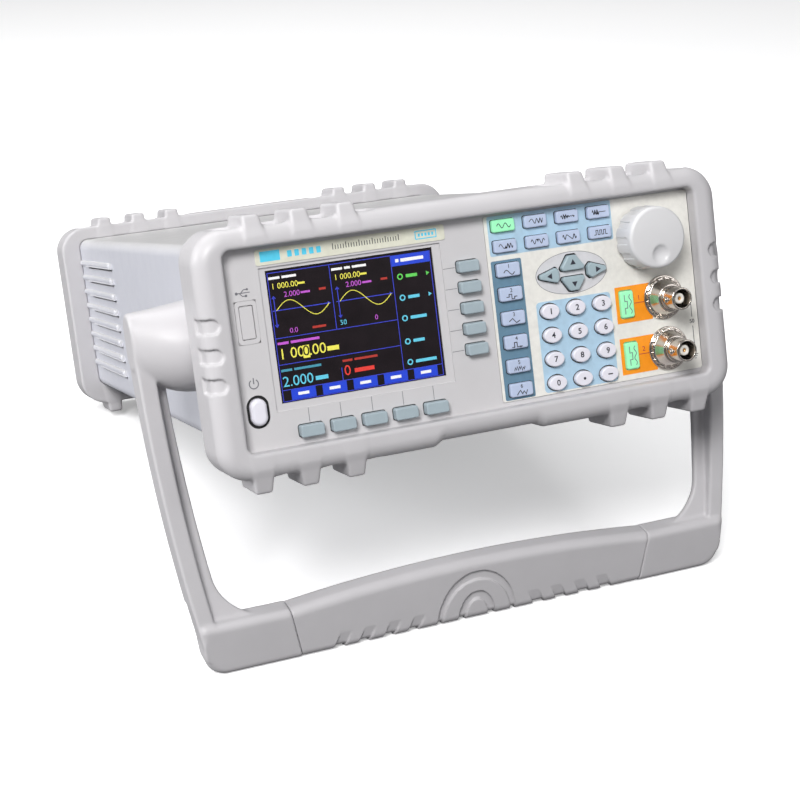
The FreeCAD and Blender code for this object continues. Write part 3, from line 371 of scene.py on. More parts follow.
def figures(bm, text, x, z, front, size, lift=INK, bold=0.0):
    """Numerals about their middle, their lines thickened by bold mm all round."""
    curve = bpy.data.curves.new("figures", "FONT")
    curve.body = text
    curve.size = size
    curve.offset = bold
    curve.align_x = "CENTER"
    curve.align_y = "CENTER"
    curve.extrude = (lift + 0.02) / 2
    curve.resolution_u = 4
    item = bpy.data.objects.new("figures", curve)
    mesh = bpy.data.meshes.new_from_object(item)
    stand = Matrix.Translation((x, front - (lift - 0.02) / 2, z))
    mesh.transform(stand @ Matrix.Rotation(math.pi / 2, 4, "X"))
    bm.from_mesh(mesh)
    bpy.data.objects.remove(item)
    bpy.data.curves.remove(curve)
    bpy.data.meshes.remove(mesh)


# ---------------------------------------------- shapes from distance, level mm

def surface(field, low, high, step):
    """A closed smooth mesh where the field crosses zero: a corner in each mixed cell."""
    axes = [np.arange(a - 2 * step, b + 3 * step, step) for a, b in zip(low, high)]
    value = field(*np.meshgrid(*axes, indexing="ij"))
    total = np.zeros(value.shape + (3,))
    count = np.zeros(value.shape)
    crossings = []
    ring = ((0, 0), (1, 0), (1, 1), (0, 1))
    for axis in range(3):
        near = np.take(value, range(value.shape[axis] - 1), axis)
        far = np.take(value, range(1, value.shape[axis]), axis)
        spots = np.argwhere((near < 0) != (far < 0))
        start, end = near[tuple(spots.T)], far[tuple(spots.T)]
        points = spots.astype(float)
        points[:, axis] += start / (start - end)
        cells = []
        for back in ring:
            cell = spots.copy()
            cell[:, (axis + 1) % 3] -= back[0]
            cell[:, (axis + 2) % 3] -= back[1]
            np.add.at(total, tuple(cell.T), points)
            np.add.at(count, tuple(cell.T), 1)
            cells.append(cell)
        crossings.append((cells, start < 0))
    used = np.argwhere(count > 0)
    index = np.full(value.shape, -1)
    index[tuple(used.T)] = np.arange(len(used))
    at = tuple(used.T)
    corners = total[at] / count[at][:, None] * step + np.array([a[0] for a in axes])
    corners = settle(field, corners, step / 4)
    faces = []
    for cells, leaving in crossings:
        quads = np.stack([index[tuple(cell.T)] for cell in cells], 1)
        quads[~leaving] = quads[~leaving][:, ::-1]
        faces.append(quads)
    mesh = bpy.data.meshes.new("surface")
    mesh.from_pydata(corners.tolist(), [], np.concatenate(faces).tolist())
    mesh.polygons.foreach_set("use_smooth", [True] * len(mesh.polygons))
    return mesh


def settle(field, points, reach):
    """Moves points onto the field's zero, each by no more than a cell."""
    for _ in range(2):
        here = field(*points.T)
        slope = np.stack([(field(*(points + e).T) - field(*(points - e).T)) / (2 * reach)
                          for e in np.eye(3) * reach], 1)
        length = np.maximum((slope ** 2).sum(1), 0.25)
        shift = -here[:, None] * slope / length[:, None]
        points = points + np.clip(shift, -2 * reach, 2 * reach)
    return points


def rounded(radius, *walls):
    """Inside all the walls, with their shared edges rounded."""
    inside = [wall + radius for wall in walls]
    outer = np.sqrt(sum(np.maximum(wall, 0) ** 2 for wall in inside))
    return outer + np.minimum(np.maximum.reduce(inside), 0) - radius


def blend(a, b, size):
    """Both shapes together, with a fillet of about that size between them."""
    near = np.maximum(size - np.abs(a - b), 0) / size
    return np.minimum(a, b) - near ** 2 * size / 4


def carve(a, b, size):
    """The first shape less the second, the cut's edge eased."""
    return -blend(-a, b, size)


# ---------------------------------------------------------------- the handle

HINGE = (41.0, 2.0)  # Y and Z of the handle's hinge
ARM_OUT, ARM_FOOT = 139.0, 127.2  # the arm's outer X at its hub and at its foot
ARM_WALL, ARM_DEEP, ARM_TOP = 7.6, 15.0, 18.5  # the outer rim's thickness, depth and top
ARM_WIDE = 13.0  # from the arm's outer face to the web's inner edge
WEB_UPPER, WEB_LOWER, WEB_THICK = 11.5, 3.0, 3.4  # how far the web stands back, and its thickness
BAR_FRONT, BAR_LEVEL = 37.9, -142.2  # Y of the bar's front and Z of its lower edge
BAR_HIGH, BAR_THICK, BAR_ARCH = 24.8, 13.0, 30.4  # height at the ends, depth, height in the middle
SEAM_TOP, SEAM_LOW = 88.0, 83.4  # X of the seam at the bar's upper and lower edge
CORNER, FILLET = 10.0, 20.0  # the arm's lower outer corner and inner corner
DRUM = (108.5, 139.0, 19.6, 12.0)  # the barrel's start and end, and its radius at each
DRUM_BORE, PIN_BORE = (14.0, 119.0), (4.05, 131.3)  # radius, and the X where each bore ends


def bow(z):
    """The arm's outer X at a height."""
    fall = (HINGE[1] + 8 - z) / (HINGE[1] + 8 - BAR_LEVEL - 14)
    return ARM_OUT - (ARM_OUT - ARM_FOOT) * np.maximum(fall, 0) ** 2


def bar_place(y, z):
    """Depth behind the bar's face and height above the bench line."""
    c, s = math.cos(LEAN), math.sin(LEAN)
    return ((y - BAR_FRONT) * c + (z - BAR_LEVEL) * s,
            -(y - BAR_FRONT) * s + (z - BAR_LEVEL) * c)


def arm_field(x, y, z):
    """The right arm: a deep outer rim, a thinner web inside it, its barrel and its bar end."""
    deep, high = bar_place(y, z)
    out = bow(z)
    half = ARM_DEEP / 2
    over = np.maximum(z - ARM_TOP + half, 0)
    around = np.hypot(y - HINGE[0], over) - half
    foot = (BAR_LEVEL + 8) - z
    rim = rounded(1.3, np.abs(x - out + ARM_WALL / 2) - ARM_WALL / 2, around, foot)
    share = np.clip((z - BAR_LEVEL - BAR_HIGH) / (HINGE[1] - BAR_LEVEL - BAR_HIGH), 0, 1)
    face = HINGE[0] - ARM_DEEP / 2 + WEB_LOWER + (WEB_UPPER - WEB_LOWER) * share ** 0.8
    bar_top = BAR_LEVEL + BAR_HIGH - 1.0
    inside = out - ARM_WIDE
    knee = np.maximum(bar_top + FILLET - z, 0)
    reach = np.sqrt(np.maximum(FILLET ** 2 - knee ** 2, 0))
    flare = inside - FILLET + reach
    web = rounded(1.3, flare - x, x - out + 2, face - y, y - face - WEB_THICK,
                  z - HINGE[1], bar_top - 4 - z)
    shape = blend(rim, web, 1.6)
    outer_low = rounded(CORNER, x - ARM_FOOT - 0.16 * np.maximum(high - 14, 0), -high)
    bar = rounded(3.4, -deep, deep - BAR_THICK, high - BAR_HIGH, outer_low)
    bar = np.maximum(bar, seam(high) + 0.12 - x)
    shape = blend(shape, bar, 1.5)
    shape = np.maximum(shape, np.where(high < 30, np.maximum(outer_low, -deep), x - out))
    start, stop, first, last = DRUM
    along = np.clip((x - start) / (stop - start), 0, 1)
    radius = first - (first - last) * along ** 2.2
    top = HINGE[1] + first + (ARM_TOP - HINGE[1] - first) * along
    section = np.hypot((y - HINGE[0]) * (1 + 0.35 * along ** 3), z - top + radius)
    barrel = rounded(1.2, section - radius, start - x, x - stop)
    shape = blend(shape, barrel, 1.6)
    far = np.hypot(y - HINGE[0], z - HINGE[1])
    for bore, end in (DRUM_BORE, PIN_BORE):
        shape = np.maximum(shape, -np.maximum(far - bore, x - end))
    return shape


def seam(high):
    """X of the slanting seam between the arms and the grip."""
    return SEAM_LOW + (SEAM_TOP - SEAM_LOW) * high / BAR_HIGH


def grip_field(x, y, z):
    """The grip: an arched bar with stepped arcs in the middle and finger steps below."""
    deep, high = bar_place(y, z)
    sag = (BAR_ARCH - BAR_HIGH) * (x / SEAM_TOP) ** 2
    bar = rounded(4.2, -deep, deep - BAR_THICK, high - BAR_ARCH + sag, -high)
    bar = np.minimum(bar, rounded(2.0, 2 - deep, deep - BAR_THICK, high - 12, -high))
    ends = np.abs(x) - seam(high) + 0.12
    bar = rounded(0.4, bar, ends)
    dips = np.minimum.reduce([ring_dip(x, high, *ring) for ring in RINGS])
    grip = np.maximum(bar, np.minimum(bar + STEP_DEEP, -dips))
    steps = np.minimum.reduce([finger_dip(x, high, *step) for step in FINGER_STEPS])
    fade = FINGER_DEEP * np.clip(1 - high / FINGER_HIGH, 0, 1)
    return np.maximum(grip, np.minimum(bar + fade, -steps))


STEP_DEEP, FINGER_DEEP = 1.1, 1.4  # how far the arcs and the finger steps stand back
RINGS = ((19.4, 24.8, 16.8, 20.4), (9.2, 14.6, 5.6, 10.6))  # half width and top, outer then inner
FINGER_STEPS = [(side * start, -side) for side in (-1, 1) for start in (34.4, 46.0, 58.0, 69.5)]
FINGER_WIDE, FINGER_HIGH, FINGER_SLANT = 5.4, 8.8, 0.42


def ring_dip(x, high, wide_out, top_out, wide_in, top_in):
    """Below zero between two arches that stand on the bench line."""
    outside = (np.hypot(x / wide_out, np.maximum(high, 0) / top_out) - 1) * wide_out
    inside = (np.hypot(x / wide_in, np.maximum(high, 0) / top_in) - 1) * wide_in
    return np.maximum(outside, -inside)


def finger_dip(x, high, start, lean):
    """Below zero in a short slanting step at the lower edge."""
    along = (x - start) * lean - high * FINGER_SLANT
    return rounded(0.5, -along, along - FINGER_WIDE, high - FINGER_HIGH)


def mirrored(mesh):
    """A copy of a mesh on the other side of the instrument."""
    twin = mesh.copy()
    twin.transform(Matrix.Scale(-1, 4, (1, 0, 0)))
    twin.flip_normals()
    return twin


def make_handle():
    """Both arms with their barrels, and the grip between them."""
    low = (80.0, 20.0, BAR_LEVEL - 4)
    right = surface(arm_field, low, (140.0, 62.0, 24.0), 0.8)
    left = mirrored(right)
    arm_right = finished("arm_right_moulding", right, "handle", "bumper_plastic")
    finished("arm_left_moulding", left, "handle", "bumper_plastic")
    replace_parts(arm_right, "handle_arms")
    grip = surface(grip_field, (-89.0, 28.0, BAR_LEVEL - 4), (89.0, 52.0, -108.0), 0.55)
    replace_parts(finished("grip_moulding", grip, "handle", "bumper_plastic"), "handle_grip")


# --------------------------------------------------------------- the bumpers

BUMPER_HALF, BUMPER_TOP, BUMPER_LOW = 118.5, 49.8, -52.6  # half width, upper and lower edge
BUMPER_MIDDLE = -50.4  # the lower edge's rise in the middle
BUMPER_FRONT, BUMPER_BACK = -6.5, 20.5
BUMPER_ROUND, BUMPER_SOFT = 14.0, 7.0  # the corners' radius and the front edge's
OPENING = (106.5, -41.2, 41.2, 3.5)  # half width, lower and upper edge, corner radius
CASE = (108.1, -42.1, 42.9)  # room for the case behind the panel: half width, lower and upper edge
CASE_FRONT, CASE_REAR = 3.0, 335.5
NUBS = ((54.0, 52.0, 1), (-58.5, 61.0, -1))  # end height, first X and which way the row points
NUB_PITCH, NUB_HALF, NUB_SPREAD = 20.0, 3.5, 0.12  # spacing, half width at the end, and taper
VALLEY_RADIUS, VALLEY_FLOOR = 6.3, 5.0  # of the bowls between the nubs, and how deep they go
VALLEY_START, VALLEY_STOP = 3.6, 13.0  # Y between which they run
GROOVE_FIRST, GROOVE_PITCH, GROOVE_END = 12.2, 12.0, 111.3  # Z of the first, spacing, inner X
GROOVE_HALF, GROOVE_DEEP = 3.0, 1.3


def oblong_field(x, z, half, low, high, radius):
    """Distance from a rounded rectangle's edge, below zero inside."""
    across = np.abs(x) - half + radius
    up = np.abs(z - (low + high) / 2) - (high - low) / 2 + radius
    corner = np.hypot(np.maximum(across, 0), np.maximum(up, 0))
    return corner + np.minimum(np.maximum(across, up), 0) - radius


def bumper_field(x, y, z):
    """A bumper: a soft ring with nubs above and below, and valleys between them."""
    wide = np.abs(x)
    centre = np.clip((26.0 - wide) / 5.0, 0, 1)
    low = BUMPER_LOW + (BUMPER_MIDDLE - BUMPER_LOW) * centre ** 2 * (3 - 2 * centre)
    side = oblong_field(x, z, BUMPER_HALF, BUMPER_LOW, BUMPER_TOP, BUMPER_ROUND)
    side = np.maximum(side, np.where(wide < 60, low - z, -1e3))
    ring = rounded(BUMPER_SOFT, side, BUMPER_FRONT - y)
    ring = rounded(0.8, ring, y - BUMPER_BACK)
    for end, first, way in NUBS:
        tall = z * way
        edge = BUMPER_TOP if way > 0 else -BUMPER_LOW
        for i in range(3):
            offset = np.abs(wide - first - NUB_PITCH * i)
            spread = NUB_HALF + NUB_SPREAD * (end * way - tall)
            face = BUMPER_FRONT + 0.3 + 0.4 * np.maximum(tall - edge + 4.6, 0)
            nub = rounded(1.1, offset - spread, face - y, tall - end * way, edge - 12 - tall,
                          y - BUMPER_BACK)
            ring = blend(ring, nub, 1.2)
        for i in range(4):
            offset = wide - first - NUB_PITCH * (i - 0.5)
            reach = y - np.clip(y, VALLEY_START, VALLEY_STOP)
            deep = VALLEY_FLOOR if 0 < i < 3 else VALLEY_FLOOR * 0.55
            far = np.sqrt(offset ** 2 + reach ** 2 + (tall - edge + deep - VALLEY_RADIUS) ** 2)
            ring = carve(ring, far - VALLEY_RADIUS, 1.0)
    half, bottom, top, radius = OPENING
    ring = carve(ring, oblong_field(x, z, half, bottom, top, radius), 1.6)
    half, bottom, top = CASE
    behind = np.maximum(oblong_field(x, z, half, bottom, top, 5.0), CASE_FRONT - y)
    return np.maximum(ring, -behind)


def grooved_field(x, y, z):
    """The front bumper, with three round-ended grooves across each side's front corner."""
    ring = bumper_field(x, y, z)
    wide = np.abs(x)
    for i in range(3):
        up = z - GROOVE_FIRST + GROOVE_PITCH * i
        inward = np.maximum(GROOVE_END + GROOVE_HALF - wide, 0)
        groove = np.maximum(np.hypot(inward, up) - GROOVE_HALF, y - 6)
        ring = np.maximum(ring, np.minimum(ring + GROOVE_DEEP, -groove))
    return ring


def make_bumpers():
    """Both bumpers; the rear one is the front one's shape turned round, without grooves."""
    low = (-BUMPER_HALF, BUMPER_FRONT, NUBS[1][0])
    high = (BUMPER_HALF, BUMPER_BACK, NUBS[0][0])
    front = surface(grooved_field, low, high, 0.75)
    rear = surface(bumper_field, low, high, 0.9)
    middle = Matrix.Translation((0, (CASE_FRONT + CASE_REAR) / 2, 0))
    rear.transform(middle @ Matrix.Rotation(math.pi, 4, "Z") @ middle.inverted())
    for name, mesh in (("front_bumper", front), ("rear_bumper", rear)):
        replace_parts(finished(name + "_moulding", mesh, "instrument", "bumper_plastic"), name)


# ------------------------------------------------------------ knob and jacks

KNOB_RADIUS, KNOB_FACE = 13.9, 13.2  # radius at the panel and at the face
KNOB_BACK, KNOB_FRONT = -0.8, -14.3
DIMPLE = (0.4, -7.6, 4.2, 6.0)  # place on the face, half width and radius of its bowl
GRIPS, GRIP_HALF, GRIP_DEEP, GRIP_SHORT = 12, 1.5, 0.45, 4.5  # shallow flutes round the side


def knob_field(x, y, z):
    """The tuning knob: a domed cap with a finger dimple and shallow grips round its side."""
    side, up = x - KNOB_SEAT[0], z - KNOB_SEAT[1]
    far = np.hypot(side, up)
    out = (KNOB_BACK - y) / (KNOB_BACK - KNOB_FRONT)
    wall = far - KNOB_RADIUS - (KNOB_FACE - KNOB_RADIUS) * out
    dome = (KNOB_FRONT + 0.9 * (far / KNOB_FACE) ** 2) - y
    cap = rounded(1.3, wall, dome)
    cap = rounded(0.5, cap, y - KNOB_BACK)
    turn = np.arctan2(up, side) * GRIPS / (2 * math.pi)
    off = (turn - np.round(turn)) * 2 * math.pi / GRIPS * KNOB_RADIUS
    grip = rounded(0.7, np.abs(off) - GRIP_HALF, KNOB_FRONT + GRIP_SHORT - y)
    cap = np.maximum(cap, np.minimum(cap + GRIP_DEEP, -grip))
    middle_x, middle_z, half, radius = DIMPLE
    stand = KNOB_FRONT + 0.3 - math.sqrt(radius ** 2 - half ** 2)
    bowl = np.sqrt((side - middle_x) ** 2 + (up - middle_z) ** 2 + (y - stand) ** 2) - radius
    return carve(cap, bowl, 0.5)


JACK_FRONT, JACK_BARREL, JACK_BORE, JACK_FLANGE = -16.7, 4.85, 4.0, 9.75


def jack_field(x, y, z):
    """One output socket about X 0, Z 0: washer, nut, stepped bell, barrel and two lugs."""
    far = np.hypot(x, z)
    turn = np.arctan2(z, x)
    washer = rounded(0.4, far - JACK_FLANGE, -1.1 - y, y - CARD_FACE)
    teeth = 8.9 - 0.5 * (np.cos(turn * 16) > 0.55)
    nut = rounded(0.25, far - teeth, -2.3 - y, y + 0.8)
    out = np.clip((-y - 2.0) / 5.5, 0, 1)
    bell = rounded(0.4, far - (8.2 - 2.2 * out ** 0.8), -7.4 - y, y + 2)
    collar = rounded(0.3, far - 6.6, -5.4 - y, y + 2)
    barrel = rounded(0.3, far - JACK_BARREL, JACK_FRONT - y, y + 2)
    lug = rounded(0.25, np.hypot(y + 11.6, z) - 1.05, np.abs(x) - 6.0)
    ridge = rounded(0.25, far - 5.4, np.abs(y + 8.2) - 0.5)
    shape = np.minimum.reduce([washer, nut, bell, collar, blend(barrel, lug, 0.5), ridge])
    bore = np.maximum(far - JACK_BORE, y + 8.0)
    return np.maximum(shape, -bore)


def lathe(bm, profile, x, z, steps):
    """Turns a closed outline of (radius, Y) about an axis into the panel."""
    rings = []
    for i in range(steps):
        angle = 2 * math.pi * i / steps
        rings.append([bm.verts.new((x + r * math.cos(angle), y, z + r * math.sin(angle)))
                      for r, y in profile])
    for i in range(steps):
        for j in range(len(profile)):
            bm.faces.new((rings[i - 1][j - 1], rings[i - 1][j], rings[i][j], rings[i][j - 1]))


def make_knob():
    """The tuning knob in place on the panel."""
    reach = KNOB_RADIUS + 0.5
    low = (KNOB_SEAT[0] - reach, KNOB_FRONT, KNOB_SEAT[1] - reach)
    high = (KNOB_SEAT[0] + reach, KNOB_BACK, KNOB_SEAT[1] + reach)
    mesh = surface(knob_field, low, high, 0.32)
    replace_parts(finished("knob_moulding", mesh, "knob", "knob_plastic"), "tuning_knob")


JACK_CORES = (  # piece, paint, and the closed outline of (radius, Y)
    ("insulator", "insulator", ((0.95, -14.6), (2.0, -14.6), (2.3, -14.3), (2.3, -7.9), (0.95, -7.9))),
    ("contact", "gold", ((0.45, -14.0), (0.9, -14.0), (0.9, -8.2), (0.45, -8.2))),
    ("floor", "black_plastic", ((2.2, -8.4), (3.95, -8.4), (3.95, -7.9), (2.2, -7.9))),
)


def make_jacks():
    """The two output sockets with the pieces inside them."""
    master = surface(jack_field, (-10, JACK_FRONT, -10), (10, 0, 10), 0.26)
    for side, (x, z) in zip("ab", JACKS):
        mesh = master.copy()
        mesh.transform(Matrix.Translation((x, 0, z)))
        item = finished(f"jack_shell_{side}", mesh, "instrument", "plated_metal")
        if side == "a":
            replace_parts(item, "output_connectors")
        for core, paint, profile in JACK_CORES:
            bm = bmesh.new()
            lathe(bm, profile, x, z, 24 if core == "contact" else 40)
            piece(f"jack_{core}_{side}", bm, "instrument", "plated_metal", PAINTS[paint], True)


# ------------------------------------------------------------------ the print

INKS = {
    "cream": printed("cream card", (0.80, 0.79, 0.74)),
    "strip": printed("cream strip", (0.72, 0.72, 0.60)),
    "cyan": printed("cyan ink", (0.10, 0.62, 0.85)),
    "light_blue": printed("light blue ink", (0.42, 0.60, 0.74)),
    "slate": printed("slate blue ink", (0.13, 0.24, 0.33)),
    "silver": printed("silver ink", (0.64, 0.64, 0.66)),
    "orange": printed("orange ink", (0.98, 0.32, 0.012)),
    "dark": printed("dark ink", (0.035, 0.035, 0.05)),
    "grey": printed("grey ink", (0.17, 0.17, 0.19)),
    "red": printed("red ink", (0.45, 0.04, 0.05)),
}
CARD = (8.4, 106.5, -39.6, 40.2)  # the recess for the printed card on the right: X, then Z
CARD_DEEP, CARD_FIT, CARD_ROUND = 0.5, 0.25, 1.2
ARROW_GAP = 0.7  # clearance round an arrow key
CUT_GAP = 0.5  # clearance in the print round a key
ARROW_MIDDLE = (46.9, 11.4)


def about(low_x, high_x, low_z, high_z, radius):
    """A rounded rectangle's outline between its sides."""
    return oblong((low_x + high_x) / 2, (low_z + high_z) / 2, high_x - low_x, high_z - low_z, radius)


def panel_piece(name, bm, ink):
    """Print on the fixed panel."""
    piece(name, bm, "instrument", "panel_plastic", INKS[ink])


def panel_lines(name, lines, width, ink, front=0.0, lift=INK):
    strokes(name, lines, width, front, "instrument", "panel_plastic", INKS[ink], lift)


def panel_patches(name, outlines, ink, front=CARD_FACE):
    patches(name, outlines, front, "instrument", "panel_plastic", INKS[ink])


def key_hole(node, gap=CUT_GAP):
    """The outline of what stands proud of the panel, a gap wider all round."""
    back = LEVEL.inverted()
    spots = [back @ v.co / MM for v in frame["nodes"][node].data.vertices]
    flat = [Vector((p.x, p.z)) for p in spots if p.y < -0.1]
    hull = [flat[i] for i in geometry.convex_hull_2d(flat)]
    middle = sum(hull, Vector((0, 0))) / len(hull)
    return [tuple(p + (p - middle).normalized() * gap) for p in thinned(hull)]


def thinned(points, least=0.35):
    """The outline without points closer together than that."""
    kept = []
    for point in points:
        if not kept or (point - kept[-1]).length > least:
            kept.append(point)
    return kept if (kept[0] - kept[-1]).length > least else kept[:-1]


def keys(family, count):
    return [f"{family}_key_{i}" for i in range(1, count + 1)]


ARROWS = ("up", "down", "left", "right")
ARROW_KEYS = [f"arrow_key_{way}" for way in ARROWS]


def make_card():
    """The cream card round the keys on the right, and its printed fields."""
    low_x, high_x, low_z, high_z = CARD
    edge = about(low_x + CARD_FIT, high_x - CARD_FIT, low_z + CARD_FIT, high_z - CARD_FIT, CARD_ROUND)
    right_keys = keys("mode", 8) + keys("wave", 6) + keys("digit", 12) + ARROW_KEYS
    right_keys += ["output_key_a", "output_key_b"]
    holes = [key_hole(node, ARROW_GAP if node in ARROW_KEYS else CUT_GAP) for node in right_keys]
    holes += [ellipse(*KNOB_SEAT, 11, 11)] + [ellipse(x, z, 11, 11) for x, z in JACKS]
    bm = bmesh.new()
    slab(bm, [edge] + holes, CARD_FACE, CARD_DEEP - 0.02)
    panel_piece("fascia_card", bm, "cream")
    fields = {
        "mode_field": ((10.2, 68.6, 23.0, 39.9), "light_blue", keys("mode", 8), 0.8),
        "wave_field": ((9.9, 24.0, -38.9, 21.0), "slate", keys("wave", 6), 0.8),
        "digit_field": ((28.7, 64.2, -38.6, 0.7), "light_blue", keys("digit", 12), 1.6),
        "output_field_a": ((66.6, 84.0, -14.2, 1.8), "orange", ["output_key_a"], 0.2),
        "output_field_b": ((66.6, 84.0, -36.9, -20.9), "orange", ["output_key_b"], 0.2),
    }
    for name, (sides, ink, inside, radius) in fields.items():
        holes = [key_hole(node, CUT_GAP + 0.02) for node in inside]
        panel_patches(name, [[about(*sides, radius)] + holes], ink)
    holes = [key_hole(node, ARROW_GAP + 0.02) for node in ARROW_KEYS]
    field = ellipse(*ARROW_MIDDLE, 33.6, 17.8, 72)
    panel_patches("arrow_field", [[field] + holes], "silver")
    panel_patches("arrow_field_rim", [[ellipse(*ARROW_MIDDLE, 34.0, 18.2, 72), field]], "grey")


def make_key_gaps():
    """A black sheet in the clearance round every key: painted shade for the dark gaps."""
    card_keys = keys("mode", 8) + keys("wave", 6) + keys("digit", 12)
    bm = bmesh.new()
    for nodes, gap, front in ((ARROW_KEYS, 0.66, 0.02), (card_keys, CUT_GAP - 0.02, 0.02),
                              (keys("unit", 5) + keys("menu", 5), 0.34, 0.04)):
        for node in nodes:
            slab(bm, [key_hole(node, gap), key_hole(node, 0.08)], front, 0.4)
    piece("key_gap_shade", bm, "instrument", "black_plastic")


STRIP = (-91.7, -9.5, 33.2, 39.6)  # X, then Z
STRIP_FACE = -0.35


def make_strip():
    """The cream name strip over the screen, left generic: blocks, bars and a scale."""
    low_x, high_x, low_z, high_z = STRIP
    middle = (low_z + high_z) / 2
    bm = bmesh.new()
    slab(bm, [about(*STRIP, 1.0)], STRIP_FACE, 0.1)
    panel_piece("name_strip", bm, "strip")
    block = about(low_x + 2.0, low_x + 10.4, low_z + 1.3, high_z - 0.9, 0.2)
    panel_patches("strip_block", [[block]], "cyan", STRIP_FACE)
    bars = [[oblong(low_x + 14.5 + 3.1 * i, middle + 0.1, 1.9, 2.6, 0.3)] for i in range(5)]
    panel_patches("strip_bars", bars, "cyan", STRIP_FACE)
    ticks = []
    for i in range(26):
        x = low_x + 33 + 1.15 * i
        ticks.append([(x, middle - 0.8), (x, middle + (1.0 if i % 5 else 1.7))])
    panel_lines("strip_scale", ticks, 0.32, "dark", STRIP_FACE)
    frame_out = about(high_x - 13.2, high_x - 3.6, low_z + 1.5, high_z - 1.3, 0.3)
    frame_in = about(high_x - 12.8, high_x - 4.0, low_z + 1.9, high_z - 1.7, 0.2)
    panel_patches("strip_box", [[frame_out, frame_in]], "cyan", STRIP_FACE)
    dots = [[oblong(high_x - 11.4 + 1.5 * i, middle + 0.1, 0.9, 1.3, 0.2)] for i in range(5)]
    panel_patches("strip_dots", dots, "cyan", STRIP_FACE)


def make_leaders():
    """Thin lines that tie each soft key to its place on the screen."""
    lines = []
    for node in keys("unit", 5):
        x, z, _ = face_of(node)
        lines.append([(x, z + 3.2), (x, -26.8)])
    for node in keys("menu", 5):
        x, z, _ = face_of(node)
        lines.append([(-11.8, z), (x - 5.3, z)])
    panel_lines("leader_lines", lines, 0.22, "grey", lift=0.05)


def arc(x, z, radius, start, stop, steps=24):
    turns = [math.radians(start + (stop - start) * i / steps) for i in range(steps + 1)]
    return [(x + radius * math.cos(a), z + radius * math.sin(a)) for a in turns]


def make_panel_marks():
    """The power and data-port symbols, and the load marks beside the jacks."""
    x, z = -99.0, -13.6
    power = [arc(x, z, 1.9, 125, 415), [(x, z), (x, z + 2.5)]]
    panel_lines("power_symbol", power, 0.42, "grey")
    x, z = -98.4, 23.4
    fork = [[(x - 2.6, z), (x + 2.8, z)], [(x + 1.6, z + 1.3), (x + 0.3, z + 1.3), (x - 1.0, z)],
            [(x + 0.8, z - 1.3), (x - 0.4, z - 1.3), (x - 1.6, z)]]
    bm = bmesh.new()
    for line in fork:
        slab(bm, [ribbon(line, 0.34)], -INK, 0.02)
    for end in (ellipse(x - 2.8, z, 1.2, 1.2, 20), oblong(x + 1.1, z - 1.3, 0.9, 0.9, 0.1),
                ellipse(x + 1.8, z + 1.3, 0.9, 0.9, 16)):
        slab(bm, [end], -INK, 0.02)
    panel_piece("data_symbol", bm, "grey")
    x = 103.4
    earth = [[(x, -10.5), (x, -16.2)], [(x, -20.2), (x, -33.0)], [(x - 1.5, -33.0), (x + 1.5, -33.0)],
             [(x - 1.0, -33.9), (x + 1.0, -33.9)], [(x - 0.5, -34.8), (x + 0.5, -34.8)]]
    panel_lines("load_lines", earth, 0.26, "dark", CARD_FACE)
    bm = bmesh.new()
    figures(bm, "50", x - 0.2, -18.2, CARD_FACE, 2.5)
    panel_piece("load_figures", bm, "dark")
    for side, number, (_, z) in zip("ab", "12", JACKS):
        panel_lines(f"output_line_{side}", [[(75.6, z - 0.6), (81.0, z - 0.6)]], 0.3, "red",
                    CARD_FACE - INK)
        bm = bmesh.new()
        figures(bm, number, 78.0, z + 1.5, CARD_FACE - INK, 3.0)
        panel_piece(f"output_figure_{side}", bm, "red")


# ------------------------------------------------- small fittings of the case

POWER = (-98.6, -25.2, 7.0, 11.2, 1.25)  # the power button's place, size and the gap round it
LOUVRES = (30.0, 8.2, 8)  # height of the first, pitch and count
LOUVRE_HALF = 1.6
LOUVRE_SIDE = (232.0, 317.0, 107.0, 109.4)  # the blades' ends along the case, then their X


def make_power_ring():
    """A black ring set in the gap round the power button: painted shade where the gap is dark."""
    x, z, wide, high, gap = POWER
    outer = oblong(x, z, wide + 2 * gap, high + 2 * gap, wide / 2 + gap, 12)
    inner = oblong(x, z, wide + 0.3, high + 0.3, wide / 2 + 0.15, 12)
    bm = bmesh.new()
    slab(bm, [outer, inner], 0.6, 1.0)
    piece("power_gap_shade", bm, "instrument", "black_plastic")


PORT_EDGE, PORT_OPENING = (-102.8, -93.7, 2.6, 20.1), (-101.2, -95.2, 4.4, 18.3)  # X, then Z
PORT_SHUTTER = (-100.9, -95.5, 4.7, 18.0)


def make_data_port():
    """The blanked data port: a frame round its shutter."""
    bm = bmesh.new()
    slab(bm, [about(*PORT_EDGE, 1.8), about(*PORT_OPENING, 0.7)], -0.2, 0.9)
    slab(bm, [about(*PORT_SHUTTER, 0.5)], 0.3, 1.6)
    piece("data_port_frame", bm, "instrument", "panel_plastic")


def louvre_field(x, y, z):
    """The blades on the right side, each a rounded bar."""
    first, pitch, count = LOUVRES
    start, stop, inner, outer = LOUVRE_SIDE
    rows = np.clip(np.round((first - z) / pitch), 0, count - 1)
    high = np.abs(z - first + rows * pitch) - LOUVRE_HALF
    return rounded(1.2, high, y - stop, start - y, x - outer, inner - x)


def make_louvres():
    """The pressed blades on both sides of the case."""
    first, pitch, count = LOUVRES
    start, stop, inner, outer = LOUVRE_SIDE
    low = (inner, start, first - pitch * (count - 1) - 2)
    right = surface(louvre_field, low, (outer, stop, first + 2), 0.6)
    left = mirrored(right)
    for side, mesh in (("right", right), ("left", left)):
        finished(f"louvres_{side}", mesh, "instrument", "case_paint")


# -------------------------------------------------------------- key legends

def wave(shape, x, z, wide, high, steps=40):
    """One drawn signal between its two ends, about its middle."""
    spots = [i / steps for i in range(steps + 1)]
    return [(x + wide * (t - 0.5), z + high / 2 * shape(t)) for t in spots]


